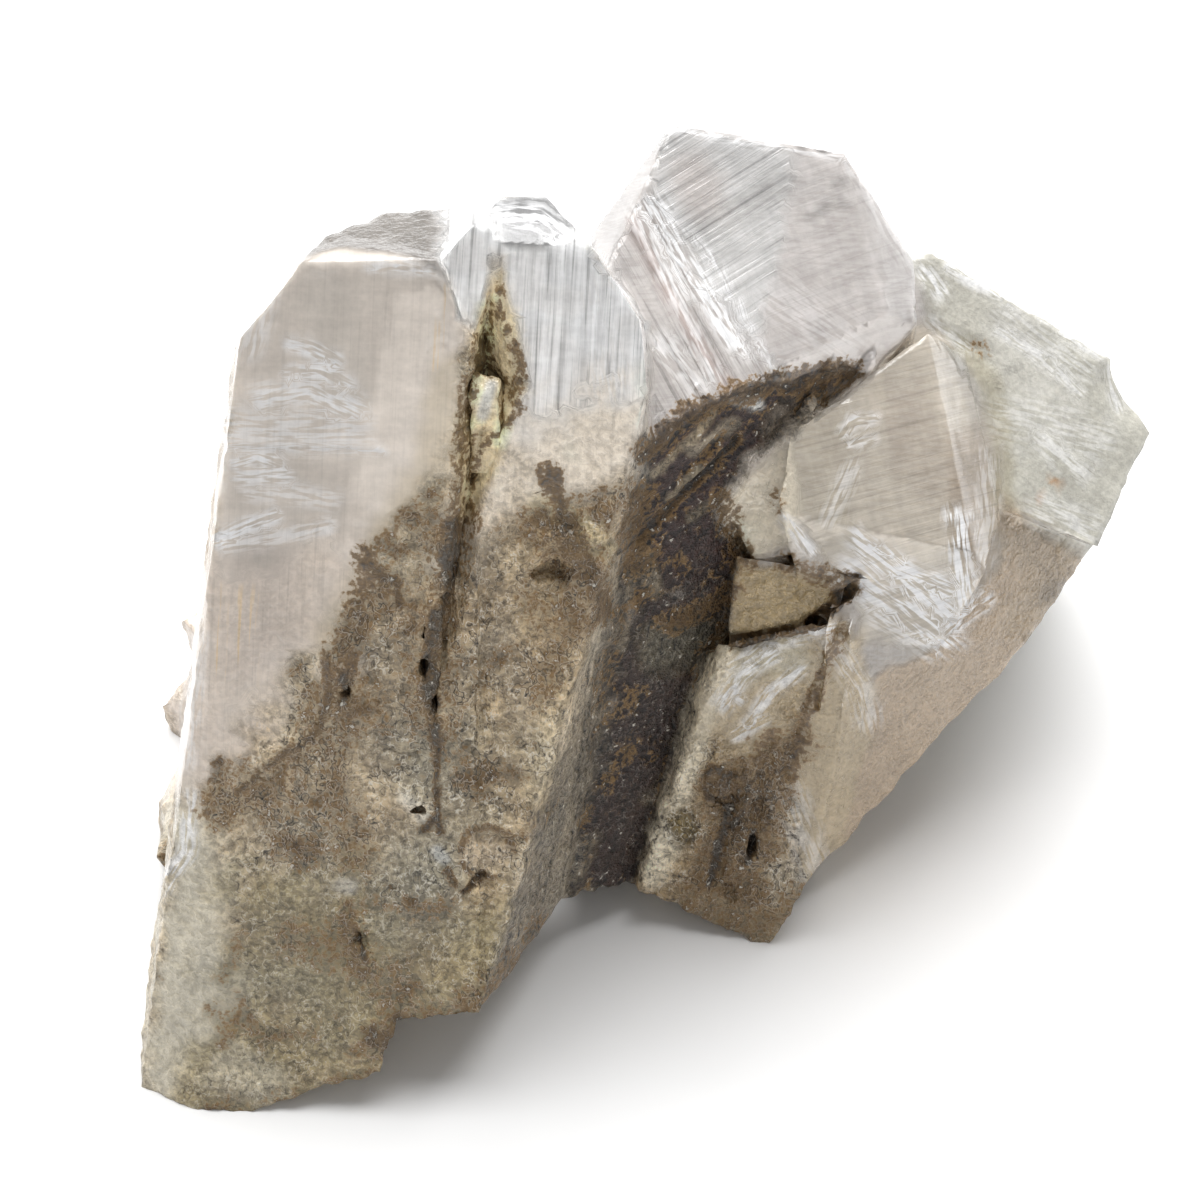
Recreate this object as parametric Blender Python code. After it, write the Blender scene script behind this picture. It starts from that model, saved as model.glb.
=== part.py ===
"""Danburite crystal cluster, standing on its broken base.

Two tall prisms grown side by side lean back on the left. A chisel-tipped crystal stands behind
them, and stubby crystals crowd the right. They are all grown together, so they are one solid.
"""
import math

import bmesh
import bpy
from mathutils import Matrix, Vector, noise

# Driving dimensions, in millimetres and degrees
MM = 0.001
BLOCK = 150.0
GROUND = 600.0
VIEW_ELEVATION = 50.0
VIEW_DISTANCE = 320.0
VIEW_CENTRE_UP = 39.6

RISE_SIN = math.sin(math.radians(VIEW_ELEVATION))
RISE_COS = math.cos(math.radians(VIEW_ELEVATION))
VIEW_TURN = Matrix((
    (1.0, 0.0, 0.0),
    (0.0, RISE_SIN, -RISE_COS),
    (0.0, RISE_COS, RISE_SIN)))


def seen(right, up, near):
    """Place a corner that is given as it looks from the front and above.

    right and up are read in the plane through the middle of the cluster, square to the line of
    sight, with up counted from the foot. near is how far the corner stands out of that plane.
    """
    shrink = 1.0 - near / VIEW_DISTANCE
    across = right * shrink
    rise = VIEW_CENTRE_UP + (up - VIEW_CENTRE_UP) * shrink
    back = rise * RISE_SIN - near * RISE_COS
    height = rise * RISE_COS + near * RISE_SIN
    return Vector((across, back, height)) * MM


def at(x, y, z):
    """Place a corner that no front view shows, by its plain coordinates."""
    return Vector((x, y, z)) * MM


# The dark wall between the left prisms and the right crystals, shared by what ends on it
WALL = (seen(0.0, 18.2, -8.5), seen(3.4, 51.6, 20.0), seen(9.0, 45.6, 10.0))

# Pits: right, up, near, width, height and depth as seen from the front
PITS = [
    (-13.0, 37.6, 16.9, 1.2, 3.4, 1.2),
    (-13.2, 34.8, 15.6, 1.4, 3.0, 1.4),
    (-12.4, 31.8, 14.3, 1.2, 2.8, 1.2),
    (-19.0, 33.0, 15.0, 1.6, 2.0, 0.9),
    (-17.9, 14.0, 6.2, 1.6, 2.6, 1.0),
    (-13.4, 24.2, 10.8, 2.2, 1.8, 1.0),
    (-3.4, 42.0, 19.2, 3.4, 4.6, 1.1),
    (9.0, 24.5, -3.2, 1.8, 3.6, 1.0),
    (11.4, 21.5, -5.6, 1.6, 3.6, 1.0),
    (9.6, 17.6, -8.2, 1.2, 2.6, 0.8),
]

# Lumps of the crust: centre and half sizes, plain coordinates
LUMPS = [
    (-28.5, 26.0, 2.0, 6.0, 8.0, 7.5),
    (-24.0, 36.0, 2.0, 9.0, 7.0, 11.0),
    (-12.0, 38.0, 4.0, 11.0, 11.0, 11.0),
    (-1.0, 48.0, 5.0, 10.0, 8.0, 15.0),
    (10.0, 51.0, 2.0, 9.0, 9.0, 13.5),
    (20.0, 48.0, 4.0, 9.0, 9.5, 12.0),
    (-19.0, 26.0, 1.0, 10.0, 9.0, 7.0),
    (-8.0, 46.0, 12.0, 8.0, 6.0, 9.0),
]
LUMP_ROUGHNESS = (0.42, 0.2)

# Small crystals in the fissure and on the rim of the wall: root, tip and width
FRONT_CRYSTALS = [
    (seen(-8.6, 49.5, 21.0), seen(-8.4, 56.4, 25.2), 1.9),
    (seen(8.2, 51.8, 14.0), seen(7.6, 56.2, 18.4), 2.0),
    (seen(10.6, 52.4, 12.6), seen(12.0, 56.8, 16.6), 1.6),
    (seen(13.0, 53.0, 10.6), seen(12.6, 57.4, 15.8), 2.3),
    (seen(15.4, 53.8, 9.4), seen(17.6, 57.8, 14.0), 1.5),
    (seen(17.8, 55.0, 8.4), seen(20.6, 58.2, 12.2), 1.3),
]

# Small crystals in the crust behind: root, tip and width
BACK_CRYSTALS = [
    (at(-14.0, 38.0, 6.0), at(-19.0, 50.0, 19.0), 6.4),
    (at(0.0, 46.0, 8.0), at(-4.0, 58.0, 24.0), 7.0),
    (at(8.0, 48.0, 2.0), at(6.0, 61.0, 12.0), 5.6),
    (at(20.0, 46.0, 6.0), at(29.0, 58.0, 11.0), 6.0),
    (at(-24.0, 32.0, 3.0), at(-31.0, 41.0, 12.0), 5.0),
]
SMALL_CRYSTAL_FLATNESS = 0.8

# Rough places: centre, radius and height of the relief
ROUGH_PLACES = [
    (seen(-16.0, 22.0, 8.0), 21.0, 0.35),
    (seen(-12.0, 42.0, 18.0), 9.0, 0.30),
    (seen(-22.0, 6.0, 2.0), 16.0, 0.55),
    (seen(5.0, 40.0, 3.0), 17.0, 0.40),
    (seen(2.0, 52.0, 17.0), 4.0, 0.30),
    (seen(10.0, 22.0, -5.0), 14.0, 0.40),
    (seen(14.0, 41.0, 6.0), 6.0, 0.30),
    (seen(34.0, 55.0, -8.0), 15.0, 0.35),
    (seen(26.0, 32.0, -8.0), 14.0, 0.30),
    (at(-20.0, 34.0, 4.0), 15.0, 0.45),
    (at(6.0, 56.0, 12.0), 18.0, 0.45),
    (at(-14.0, 34.0, 24.0), 12.0, 0.45),
    (at(28.0, 60.0, 22.0), 14.0, 0.45),
]
ROUGH_GRAIN = 2.6
SPLIT_LENGTHS = (14.0, 8.0, 5.6, 4.6)
FLAT_ANGLE = 0.001
FLOOR_KEEP = 0.05
WELD = 0.002

# Middle of the footprint, which becomes the origin
MIDDLE = at(3.36, 31.60, 0.0)


def cut_block(heart, cuts):
    """A block cut by planes, each through three corners, which keeps the side of its heart."""
    bm = bmesh.new()
    bmesh.ops.create_cube(bm, size=BLOCK * MM)
    bmesh.ops.translate(bm, verts=bm.verts, vec=heart)
    for first, second, third in cuts:
        normal = (second - first).cross(third - first).normalized()
        if normal.dot(heart - first) > 0.0:
            normal.negate()
        everything = list(bm.verts) + list(bm.edges) + list(bm.faces)
        cut = bmesh.ops.bisect_plane(
            bm, geom=everything, plane_co=first, plane_no=normal, clear_outer=True)
        rim = [item for item in cut["geom_cut"] if isinstance(item, bmesh.types.BMEdge)]
        bmesh.ops.contextual_create(bm, geom=rim)
    bmesh.ops.recalc_face_normals(bm, faces=bm.faces)
    return bm


def left_prism():
    """The left of the two tall prisms, with its sloping top and chipped shoulder."""
    return cut_block(seen(-20.0, 35.0, 8.0), [
        (seen(-29.6, 39.6, 18.0), seen(-22.5, 64.7, 29.6), seen(-12.0, 10.0, 4.4)),
        (seen(-27.0, 0.2, -0.1), seen(-34.5, 2.8, -2.4), seen(-29.6, 39.6, 17.8)),
        (seen(-29.6, 39.6, 18.0), seen(-33.2, 12.6, 4.0), seen(-30.1, 39.6, 8.0)),
        (seen(-30.1, 39.6, 8.0), seen(-34.2, 12.6, -6.0), seen(-20.0, 39.6, -2.0)),
        (seen(-20.0, 39.6, -2.0), seen(-10.0, 39.6, -2.0), seen(-20.0, 64.7, 9.6)),
        (seen(-22.3, 64.9, 29.6), seen(-12.0, 65.2, 29.8), seen(-16.5, 68.6, 22.0)),
        (seen(-22.5, 64.8, 24.0), seen(-16.5, 68.6, 22.0), seen(-16.0, 64.0, 8.0)),
        (seen(-16.5, 68.6, 22.0), seen(-8.2, 69.9, 24.0), seen(-12.0, 66.0, 10.0)),
        (seen(-22.7, 64.4, 29.4), seen(-26.8, 59.5, 27.0), seen(-25.0, 61.5, 18.0)),
        (seen(-12.0, 64.7, 29.6), seen(-9.0, 59.1, 27.0), seen(-6.0, 64.0, 18.0)),
        (seen(-9.0, 59.1, 27.0), seen(-9.0, 8.8, 3.9), seen(-5.0, 40.0, 5.0)),
        (seen(-27.0, 0.2, -0.2), seen(-16.5, 3.9, 1.6), at(-15.0, 26.0, 0.0)),
    ])


def right_prism():
    """The right of the two tall prisms, with its striated face and the strip beside the wall."""
    return cut_block(seen(-6.0, 45.0, 12.0), [
        (seen(-9.0, 8.8, 3.6), seen(3.4, 51.6, 24.3), seen(-12.0, 65.0, 29.2)),
        (seen(-3.0, 30.6, 14.1), seen(-9.0, 8.8, 3.6), seen(-1.9, 17.9, -8.0)),
        (seen(-0.7, 66.2, 31.1), seen(3.0, 60.6, 28.7), seen(3.0, 61.0, 16.0)),
        (seen(3.0, 60.6, 28.7), seen(3.6, 54.6, 25.9), seen(3.9, 57.0, 12.0)),
        (seen(-8.2, 67.4, 30.6), seen(-1.1, 66.2, 30.7), seen(-6.0, 70.0, 26.5)),
        (seen(-8.2, 70.0, 27.0), seen(-4.1, 70.0, 27.0), seen(-6.0, 66.0, 12.0)),
        (seen(-4.1, 70.0, 27.0), seen(-0.7, 66.3, 30.0), seen(-2.0, 66.0, 14.0)),
        (seen(-12.0, 65.0, 29.2), seen(-8.4, 69.4, 31.0), seen(-8.0, 68.0, 20.0)),
        (seen(-14.0, 39.6, 18.0), seen(-14.0, 10.0, 4.0), seen(-12.0, 39.6, 0.0)),
        (seen(-9.0, 39.6, 0.0), seen(0.0, 39.6, 0.0), seen(-9.0, 64.7, 12.0)),
        (seen(-27.0, 0.2, -0.2), seen(-16.5, 3.9, 1.6), at(-15.0, 26.0, 0.0)),
    ])


def core():
    """The root of the cluster, whose front is the dark wall."""
    return cut_block(at(6.0, 40.0, 20.0), [
        WALL,
        (seen(1.5, 50.0, 18.0), seen(-4.0, 17.0, -7.0), seen(-3.0, 34.0, -14.0)),
        (at(20.0, 20.0, 0.0), at(22.0, 60.0, 0.0), at(22.0, 40.0, 40.0)),
        (at(0.0, 52.0, 0.0), at(20.0, 50.0, 0.0), at(10.0, 60.0, 40.0)),
        (seen(3.4, 51.6, 19.4), seen(18.7, 55.8, 10.8), seen(10.0, 60.0, -10.0)),
        (seen(-1.9, 17.9, -8.0), seen(3.0, 17.8, -10.0), at(4.0, 34.0, 0.0)),
    ])


def back_crystal():
    """The chisel-tipped crystal behind the prisms."""
    return cut_block(at(12.0, 46.0, 40.0), [
        (seen(5.4, 75.3, 17.0), seen(18.4, 73.2, 13.0), seen(12.7, 55.7, 17.0)),
        (seen(5.4, 75.3, 17.0), seen(0.4, 64.3, 20.0), seen(-0.7, 66.9, 12.0)),
        (seen(-0.7, 66.9, 12.0), seen(5.4, 75.2, 16.0), seen(2.0, 67.0, -2.0)),
        (seen(-0.7, 66.9, 12.0), seen(1.0, 50.0, 12.0), seen(0.0, 60.0, -8.0)),
        (seen(18.4, 73.2, 13.0), seen(22.6, 60.0, 12.4), seen(23.6, 64.7, 9.0)),
        (seen(23.6, 64.9, 9.0), seen(18.4, 73.2, 13.0), seen(20.0, 65.5, -4.0)),
        (seen(5.4, 75.3, 17.0), seen(18.4, 73.2, 13.0), seen(11.0, 69.0, -6.0)),
        (seen(23.8, 60.6, 12.0), seen(19.5, 56.2, 14.5), seen(22.0, 57.0, 6.0)),
        (seen(23.6, 65.5, 9.0), seen(23.9, 60.0, 11.0), seen(22.6, 62.0, -6.0)),
        (at(0.0, 52.0, 0.0), at(20.0, 50.0, 0.0), at(10.0, 60.0, 40.0)),
        WALL,
        (at(0.0, 30.0, 18.0), at(20.0, 30.0, 18.0), at(10.0, 60.0, 18.0)),
    ])


def bulging_crystal():
    """The stubby crystal that bulges on the right, with its striated face."""
    return cut_block(seen(21.0, 47.0, 3.0), [
        (seen(14.2, 51.6, 13.5), seen(23.4, 60.2, 10.5), seen(26.6, 44.1, 9.5)),
        (seen(24.7, 59.5, 9.8), seen(27.2, 47.1, 9.3), seen(30.0, 46.3, 2.5)),
        (seen(23.4, 60.2, 10.0), seen(27.4, 58.3, 6.0), seen(25.0, 58.0, -4.0)),
        (seen(27.4, 58.3, 6.0), seen(30.0, 46.3, 2.5), seen(28.5, 50.0, -10.0)),
        (seen(13.6, 44.6, 12.2), seen(26.8, 43.2, 9.2), seen(25.4, 36.9, 3.0)),
        (seen(30.0, 45.6, 2.0), seen(25.9, 36.6, 1.5), seen(27.0, 42.0, -10.0)),
        (seen(15.0, 38.2, 6.0), seen(25.9, 36.5, 2.5), seen(20.0, 39.0, -8.0)),
        (seen(14.4, 52.0, 12.4), seen(18.9, 55.6, 12.6), seen(16.0, 51.5, 2.0)),
        (seen(13.5, 46.8, 12.4), seen(14.4, 52.0, 12.4), seen(14.5, 49.0, 2.0)),
        (seen(14.6, 41.5, 9.5), seen(13.5, 46.8, 12.4), seen(14.5, 44.0, 0.0)),
        (seen(16.0, 40.0, -20.0), seen(28.0, 40.0, -20.0), seen(20.0, 58.0, -12.0)),
    ])


def wedge_crystals():
    """The two small faces in the middle: one beside the bulging crystal, one below it."""
    upper = cut_block(seen(12.5, 46.0, 4.0), [
        (seen(9.0, 47.1, 9.8), seen(14.2, 52.2, 12.2), seen(15.0, 43.5, 8.8)),
        (seen(9.0, 47.3, 9.6), seen(14.8, 53.6, 12.0), seen(12.0, 47.0, 0.0)),
        (seen(9.0, 47.1, 9.6), seen(11.2, 42.6, 9.4), seen(11.4, 45.0, 0.0)),
        (seen(11.2, 42.6, 9.2), seen(15.4, 42.9, 9.8), seen(13.0, 43.5, 0.0)),
        (seen(16.0, 47.0, 9.0), seen(16.0, 43.0, 9.0), seen(16.0, 45.0, 0.0)),
        (seen(10.0, 42.0, -8.0), seen(18.0, 42.0, -8.0), seen(13.0, 50.0, -4.0)),
    ])
    lower = cut_block(seen(13.5, 39.5, 1.0), [
        (seen(10.4, 42.4, 8.3), seen(19.1, 40.7, 8.4), seen(9.7, 36.4, 4.6)),
        (seen(10.4, 42.8, 8.2), seen(19.6, 41.2, 8.2), seen(14.0, 41.0, 0.0)),
        (seen(19.3, 40.6, 8.2), seen(15.0, 37.1, 6.0), seen(15.5, 39.0, 0.0)),
        (seen(9.6, 36.2, 4.6), seen(15.0, 36.9, 6.0), seen(12.0, 37.0, -2.0)),
        (seen(10.3, 42.6, 8.3), seen(9.5, 36.3, 4.6), seen(10.5, 39.0, -4.0)),
        (seen(10.0, 37.0, -8.0), seen(18.0, 37.0, -8.0), seen(13.0, 44.0, -4.0)),
    ])
    return [upper, lower]


def front_prism():
    """The upright prism at the front right, whose foot touches the floor."""
    return cut_block(seen(11.0, 26.0, -6.0), [
        (seen(12.0, 13.7, -11.0), seen(17.2, 38.1, 8.0), seen(9.6, 36.2, 5.5)),
        (seen(9.4, 35.8, 5.5), seen(3.0, 17.8, -9.2), seen(7.2, 35.8, 1.0)),
        (seen(9.6, 36.3, 5.5), seen(17.6, 38.0, 8.0), seen(13.0, 36.0, -4.0)),
        (seen(18.9, 39.6, 7.5), seen(18.0, 28.3, 2.0), seen(17.0, 33.0, -8.0)),
        (seen(18.2, 29.0, 2.5), seen(15.6, 17.6, -8.5), seen(16.0, 24.0, -14.0)),
        (seen(15.8, 18.6, -6.5), seen(12.6, 13.6, -11.0), seen(13.5, 18.0, -18.0)),
        (seen(3.0, 17.8, -9.4), seen(12.0, 13.7, -11.2), at(8.0, 32.0, 0.0)),
        (at(4.0, 40.0, 0.0), at(20.0, 40.0, 0.0), at(10.0, 36.0, 30.0)),
    ])


def low_right_crystal():
    """The brownish crystal low on the right, which overhangs the floor."""
    return cut_block(seen(22.0, 35.0, -13.0), [
        (seen(18.0, 30.0, 0.0), seen(26.5, 36.6, -1.0), seen(19.5, 22.3, -11.0)),
        (seen(26.5, 36.6, -1.0), seen(36.6, 42.6, -9.0), seen(29.5, 45.0, -0.5)),
        (seen(36.6, 42.6, -9.0), seen(27.0, 30.6, -8.0), seen(26.0, 36.0, -24.0)),
        (seen(27.0, 30.6, -8.0), seen(15.0, 17.1, -12.0), seen(18.0, 26.0, -26.0)),
        (seen(37.4, 43.6, -8.0), seen(29.5, 47.0, 0.0), seen(31.0, 47.0, -24.0)),
        (seen(17.2, 38.0, 0.0), seen(15.0, 17.0, -10.0), seen(16.5, 30.0, -15.0)),
        (seen(17.0, 39.0, 6.5), seen(30.0, 47.5, 1.0), seen(22.0, 44.5, -15.0)),
        (at(10.0, 54.0, 0.0), at(36.0, 54.0, 0.0), at(24.0, 60.0, 30.0)),
    ])


def block_crystal():
    """The sugary block at the back on the right."""
    return cut_block(seen(30.0, 54.0, -12.0), [
        (seen(23.6, 65.2, 2.0), seen(30.0, 46.7, 0.2), seen(41.2, 52.1, -7.0)),
        (seen(25.1, 65.5, 1.0), seen(38.2, 57.6, -6.0), seen(29.0, 58.0, -20.0)),
        (seen(38.2, 57.6, -6.0), seen(41.2, 52.1, -7.0), seen(36.0, 52.0, -22.0)),
        (seen(41.2, 52.1, -7.0), seen(37.2, 43.6, -5.0), seen(36.0, 48.0, -28.0)),
        (seen(25.1, 65.6, 1.0), seen(21.0, 65.0, 2.0), seen(23.0, 60.0, -20.0)),
        (seen(37.2, 43.6, -5.0), seen(29.5, 46.6, 0.0), seen(31.0, 45.5, -24.0)),
        (at(16.0, 30.0, 20.0), at(16.0, 60.0, 20.0), at(18.0, 40.0, 50.0)),
        (at(10.0, 58.0, 10.0), at(40.0, 57.0, 10.0), at(24.0, 61.0, 34.0)),
    ])


def fissure_cutter():
    """The flame-shaped fissure between the two tall prisms, deepest on its left."""
    return cut_block(seen(-8.6, 52.0, 25.0), [
        (seen(-8.0, 65.2, 30.5), seen(-10.6, 54.6, 26.0), seen(-8.8, 58.0, 23.0)),
        (seen(-8.0, 65.2, 30.5), seen(-5.6, 55.0, 26.0), seen(-8.8, 58.0, 23.0)),
        (seen(-10.8, 54.6, 26.0), seen(-11.8, 37.0, 17.0), seen(-9.6, 50.0, 20.5)),
        (seen(-5.6, 55.4, 26.0), seen(-11.2, 37.0, 17.0), seen(-9.4, 50.0, 20.5)),
    ])


def underside_cutter():
    """The step in the broken lower edge of the tall prisms, beside the arch."""
    return cut_block(seen(-10.0, 4.0, -2.0), [
        (seen(-15.2, 8.0, 3.2), seen(-9.0, 8.7, 3.6), at(-12.0, 27.0, 1.0)),
        (seen(-16.5, 3.9, 1.6), seen(-15.2, 8.0, 3.2), at(-16.0, 27.0, 1.0)),
        (at(-4.0, 0.0, 0.0), at(-4.0, 30.0, 0.0), at(-4.0, 0.0, 10.0)),
    ])


def chip_cutter():
    """The bright chipped facet at the very top of the right prism."""
    return cut_block(seen(-4.5, 69.0, 32.0), [
        (seen(-8.2, 70.6, 27.6), seen(-8.0, 66.6, 29.9), seen(-1.0, 66.0, 30.2)),
        (seen(-8.2, 70.6, 27.6), seen(-8.0, 66.6, 29.9), seen(-8.6, 68.0, 33.0)),
    ])


def pit_cutters():
    """Etch pits and dark hollows in the rough front of the tall prisms and of the front prism."""
    pits = []
    for right, up, near, width, height, depth in PITS:
        bm = bmesh.new()
        bmesh.ops.create_icosphere(bm, subdivisions=1, radius=MM)
        stretch = Vector((width / 2, height / 2, depth))
        for vert in bm.verts:
            wobble = 1.0 + 0.3 * noise.noise(vert.co / MM + Vector((right, up, 0.0)))
            vert.co = Vector((vert.co.x * stretch.x, vert.co.y * stretch.y, vert.co.z * stretch.z)) * wobble
        bm.transform(VIEW_TURN.to_4x4())
        bmesh.ops.translate(bm, verts=bm.verts, vec=seen(right, up, near))
        pits.append(bm)
    return pits


def matrix_lumps():
    """The low sugary crust that the crystals grew on, behind and below them."""
    lumps = []
    for number, (x, y, z, across, deep, high) in enumerate(LUMPS):
        bm = bmesh.new()
        bmesh.ops.create_icosphere(bm, subdivisions=2, radius=1.0)
        for vert in bm.verts:
            spot = vert.co + Vector((number * 5.0, 0.0, 0.0))
            bulge = 1.0 + LUMP_ROUGHNESS[0] * noise.noise(spot * 1.5)
            bulge += LUMP_ROUGHNESS[1] * noise.noise(spot * 4.0)
            vert.co = at(
                x + vert.co.x * across * bulge,
                y + vert.co.y * deep * bulge,
                z + vert.co.z * high * bulge)
        lumps.append(bm)
    return lumps


def ground_cutter():
    """Everything under the floor, so that the broken base is flat."""
    bm = bmesh.new()
    bmesh.ops.create_cube(bm, size=GROUND * MM)
    bmesh.ops.translate(bm, verts=bm.verts, vec=at(0.0, 0.0, -GROUND / 2))
    return bm


def small_crystals(table):
    """Small clear crystals, each a prism with a chisel tip, from its root to its tip."""
    grown = []
    for root, tip, width in table:
        axis = tip - root
        length = axis.length
        wide = width * MM
        bm = bmesh.new()
        bmesh.ops.create_cube(bm, size=1.0)
        bmesh.ops.scale(bm, verts=bm.verts, vec=(wide, wide * SMALL_CRYSTAL_FLATNESS, length))
        for side in (-1.0, 1.0):
            everything = list(bm.verts) + list(bm.edges) + list(bm.faces)
            cut = bmesh.ops.bisect_plane(
                bm, geom=everything, clear_outer=True,
                plane_co=(0.0, side * wide * 0.08, length / 2), plane_no=(0.0, side, 0.75))
            rim = [item for item in cut["geom_cut"] if isinstance(item, bmesh.types.BMEdge)]
            bmesh.ops.contextual_create(bm, geom=rim)
        bmesh.ops.recalc_face_normals(bm, faces=bm.faces)
        bm.transform(axis.to_track_quat("Z", "Y").to_matrix().to_4x4())
        bmesh.ops.translate(bm, verts=bm.verts, vec=(root + tip) / 2)
        grown.append(bm)
    return grown


def roughness_at(point):
    """How far the surface is broken up near a point: zero on the smooth crystal faces."""
    amount = 0.0
    for centre, radius, height in ROUGH_PLACES:
        nearness = 1.0 - (point - centre).length / (radius * MM)
        if nearness > 0.0:
            amount = max(amount, height * min(1.0, nearness * 2.5))
    return amount


def split_long_edges(bm, limit):
    """Halve the long edges of the rough places, then turn the flat triangles into better ones."""
    long_edges = [
        edge for edge in bm.edges
        if edge.calc_length() > limit * MM
        and roughness_at((edge.verts[0].co + edge.verts[1].co) / 2) > 0.0]
    bmesh.ops.subdivide_edges(bm, edges=long_edges, cuts=1)
    bmesh.ops.triangulate(bm, faces=bm.faces)
    flat = [edge for edge in bm.edges if edge.calc_face_angle(1.0) < FLAT_ANGLE]
    bmesh.ops.beautify_fill(bm, faces=bm.faces, edges=flat, method="AREA")


def break_up(bm):
    """Split the faces of the rough places and push their corners in and out."""
    bmesh.ops.triangulate(bm, faces=bm.faces)
    for limit in SPLIT_LENGTHS:
        split_long_edges(bm, limit)
    bm.normal_update()
    moves = {}
    for vert in bm.verts:
        height = roughness_at(vert.co) * MM
        if height == 0.0 or vert.co.z < FLOOR_KEEP * MM:
            continue
        spot = vert.co / (ROUGH_GRAIN * MM)
        push = noise.noise(spot) + 0.5 * noise.noise(spot * 2.3 + Vector((7.0, 3.0, 1.0)))
        moves[vert] = vert.normal * push * height
    for vert, move in moves.items():
        vert.co += move
        vert.co.z = max(vert.co.z, FLOOR_KEEP * MM)
    return bm


def drop_crumbs(bm):
    """Delete everything but the largest connected body."""
    left = set(bm.verts)
    bodies = []
    while left:
        front = [left.pop()]
        body = list(front)
        while front:
            vert = front.pop()
            for edge in vert.link_edges:
                other = edge.other_vert(vert)
                if other in left:
                    left.remove(other)
                    front.append(other)
                    body.append(other)
        bodies.append(body)
    bodies.sort(key=len)
    crumbs = [vert for body in bodies[:-1] for vert in body]
    bmesh.ops.delete(bm, geom=crumbs, context="VERTS")


def clean(bm):
    """Weld near points and drop slivers, so that the solid is one tidy closed body."""
    bmesh.ops.triangulate(bm, faces=bm.faces)
    bmesh.ops.remove_doubles(bm, verts=bm.verts, dist=WELD * MM)
    bmesh.ops.dissolve_degenerate(bm, edges=bm.edges, dist=WELD * MM)
    bmesh.ops.triangulate(bm, faces=bm.faces)
    drop_crumbs(bm)
    bmesh.ops.recalc_face_normals(bm, faces=bm.faces)
    return bm


def result_of(obj):
    """The mesh of an object after its modifiers."""
    bpy.context.view_layer.update()
    finished = obj.evaluated_get(bpy.context.evaluated_depsgraph_get())
    bm = bmesh.new()
    bm.from_mesh(finished.to_mesh())
    return bm


def as_object(name, bm, collection):
    mesh = bpy.data.meshes.new(name)
    bm.to_mesh(mesh)
    bm.free()
    obj = bpy.data.objects.new(name, mesh)
    collection.objects.link(obj)
    return obj


def combine(body, pieces, operation, collection):
    """Join pieces to the body, or cut them from it, one Boolean modifier each."""
    for bm in pieces:
        name = "%s_%s_%02d" % (body.name, operation.lower(), len(body.modifiers))
        piece = as_object(name, bm, collection)
        boolean = body.modifiers.new(name, "BOOLEAN")
        boolean.operation = operation
        boolean.solver = "EXACT"
        boolean.object = piece


def clear_scene():
    for obj in list(bpy.data.objects):
        bpy.data.objects.remove(obj)


def danburite_material():
    material = bpy.data.materials.new("danburite")
    material.use_nodes = True
    shader = material.node_tree.nodes["Principled BSDF"]
    shader.inputs["Base Color"].default_value = (0.72, 0.66, 0.58, 1.0)
    shader.inputs["Roughness"].default_value = 0.35
    shader.inputs["Metallic"].default_value = 0.0
    shader.inputs["IOR"].default_value = 1.63
    shader.inputs["Transmission Weight"].default_value = 0.5
    return material


def main():
    clear_scene()
    shown = bpy.data.collections.new("danburite")
    hidden = bpy.data.collections.new("cutters")
    bpy.context.scene.collection.children.link(shown)
    bpy.context.scene.collection.children.link(hidden)

    crystals = [left_prism(), right_prism(), back_crystal(), bulging_crystal(), front_prism(),
                low_right_crystal(), block_crystal()] + wedge_crystals()
    joined = as_object("crystals_joined", core(), hidden)
    combine(joined, crystals + matrix_lumps() + small_crystals(BACK_CRYSTALS), "UNION", hidden)
    combine(joined, [ground_cutter()], "DIFFERENCE", hidden)

    broken = as_object("crystals_broken", break_up(clean(result_of(joined))), hidden)
    combine(broken, [break_up(fissure_cutter()), underside_cutter(), chip_cutter()], "DIFFERENCE", hidden)
    combine(broken, pit_cutters(), "DIFFERENCE", hidden)
    combine(broken, small_crystals(FRONT_CRYSTALS), "UNION", hidden)

    bm = clean(result_of(broken))
    bmesh.ops.translate(bm, verts=bm.verts, vec=-MIDDLE)
    cluster = as_object("danburite_cluster", bm, shown)
    cluster.data.materials.append(danburite_material())
    for helper in hidden.objects:
        helper.hide_render = True
        helper.display_type = "WIRE"


main()
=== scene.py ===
"""The look of the danburite crystal cluster: its worn surface, colours, stains and clear places."""
import math

import bmesh
import bpy
import numpy as np
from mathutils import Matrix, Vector, noise
from mathutils.bvhtree import BVHTree


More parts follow.
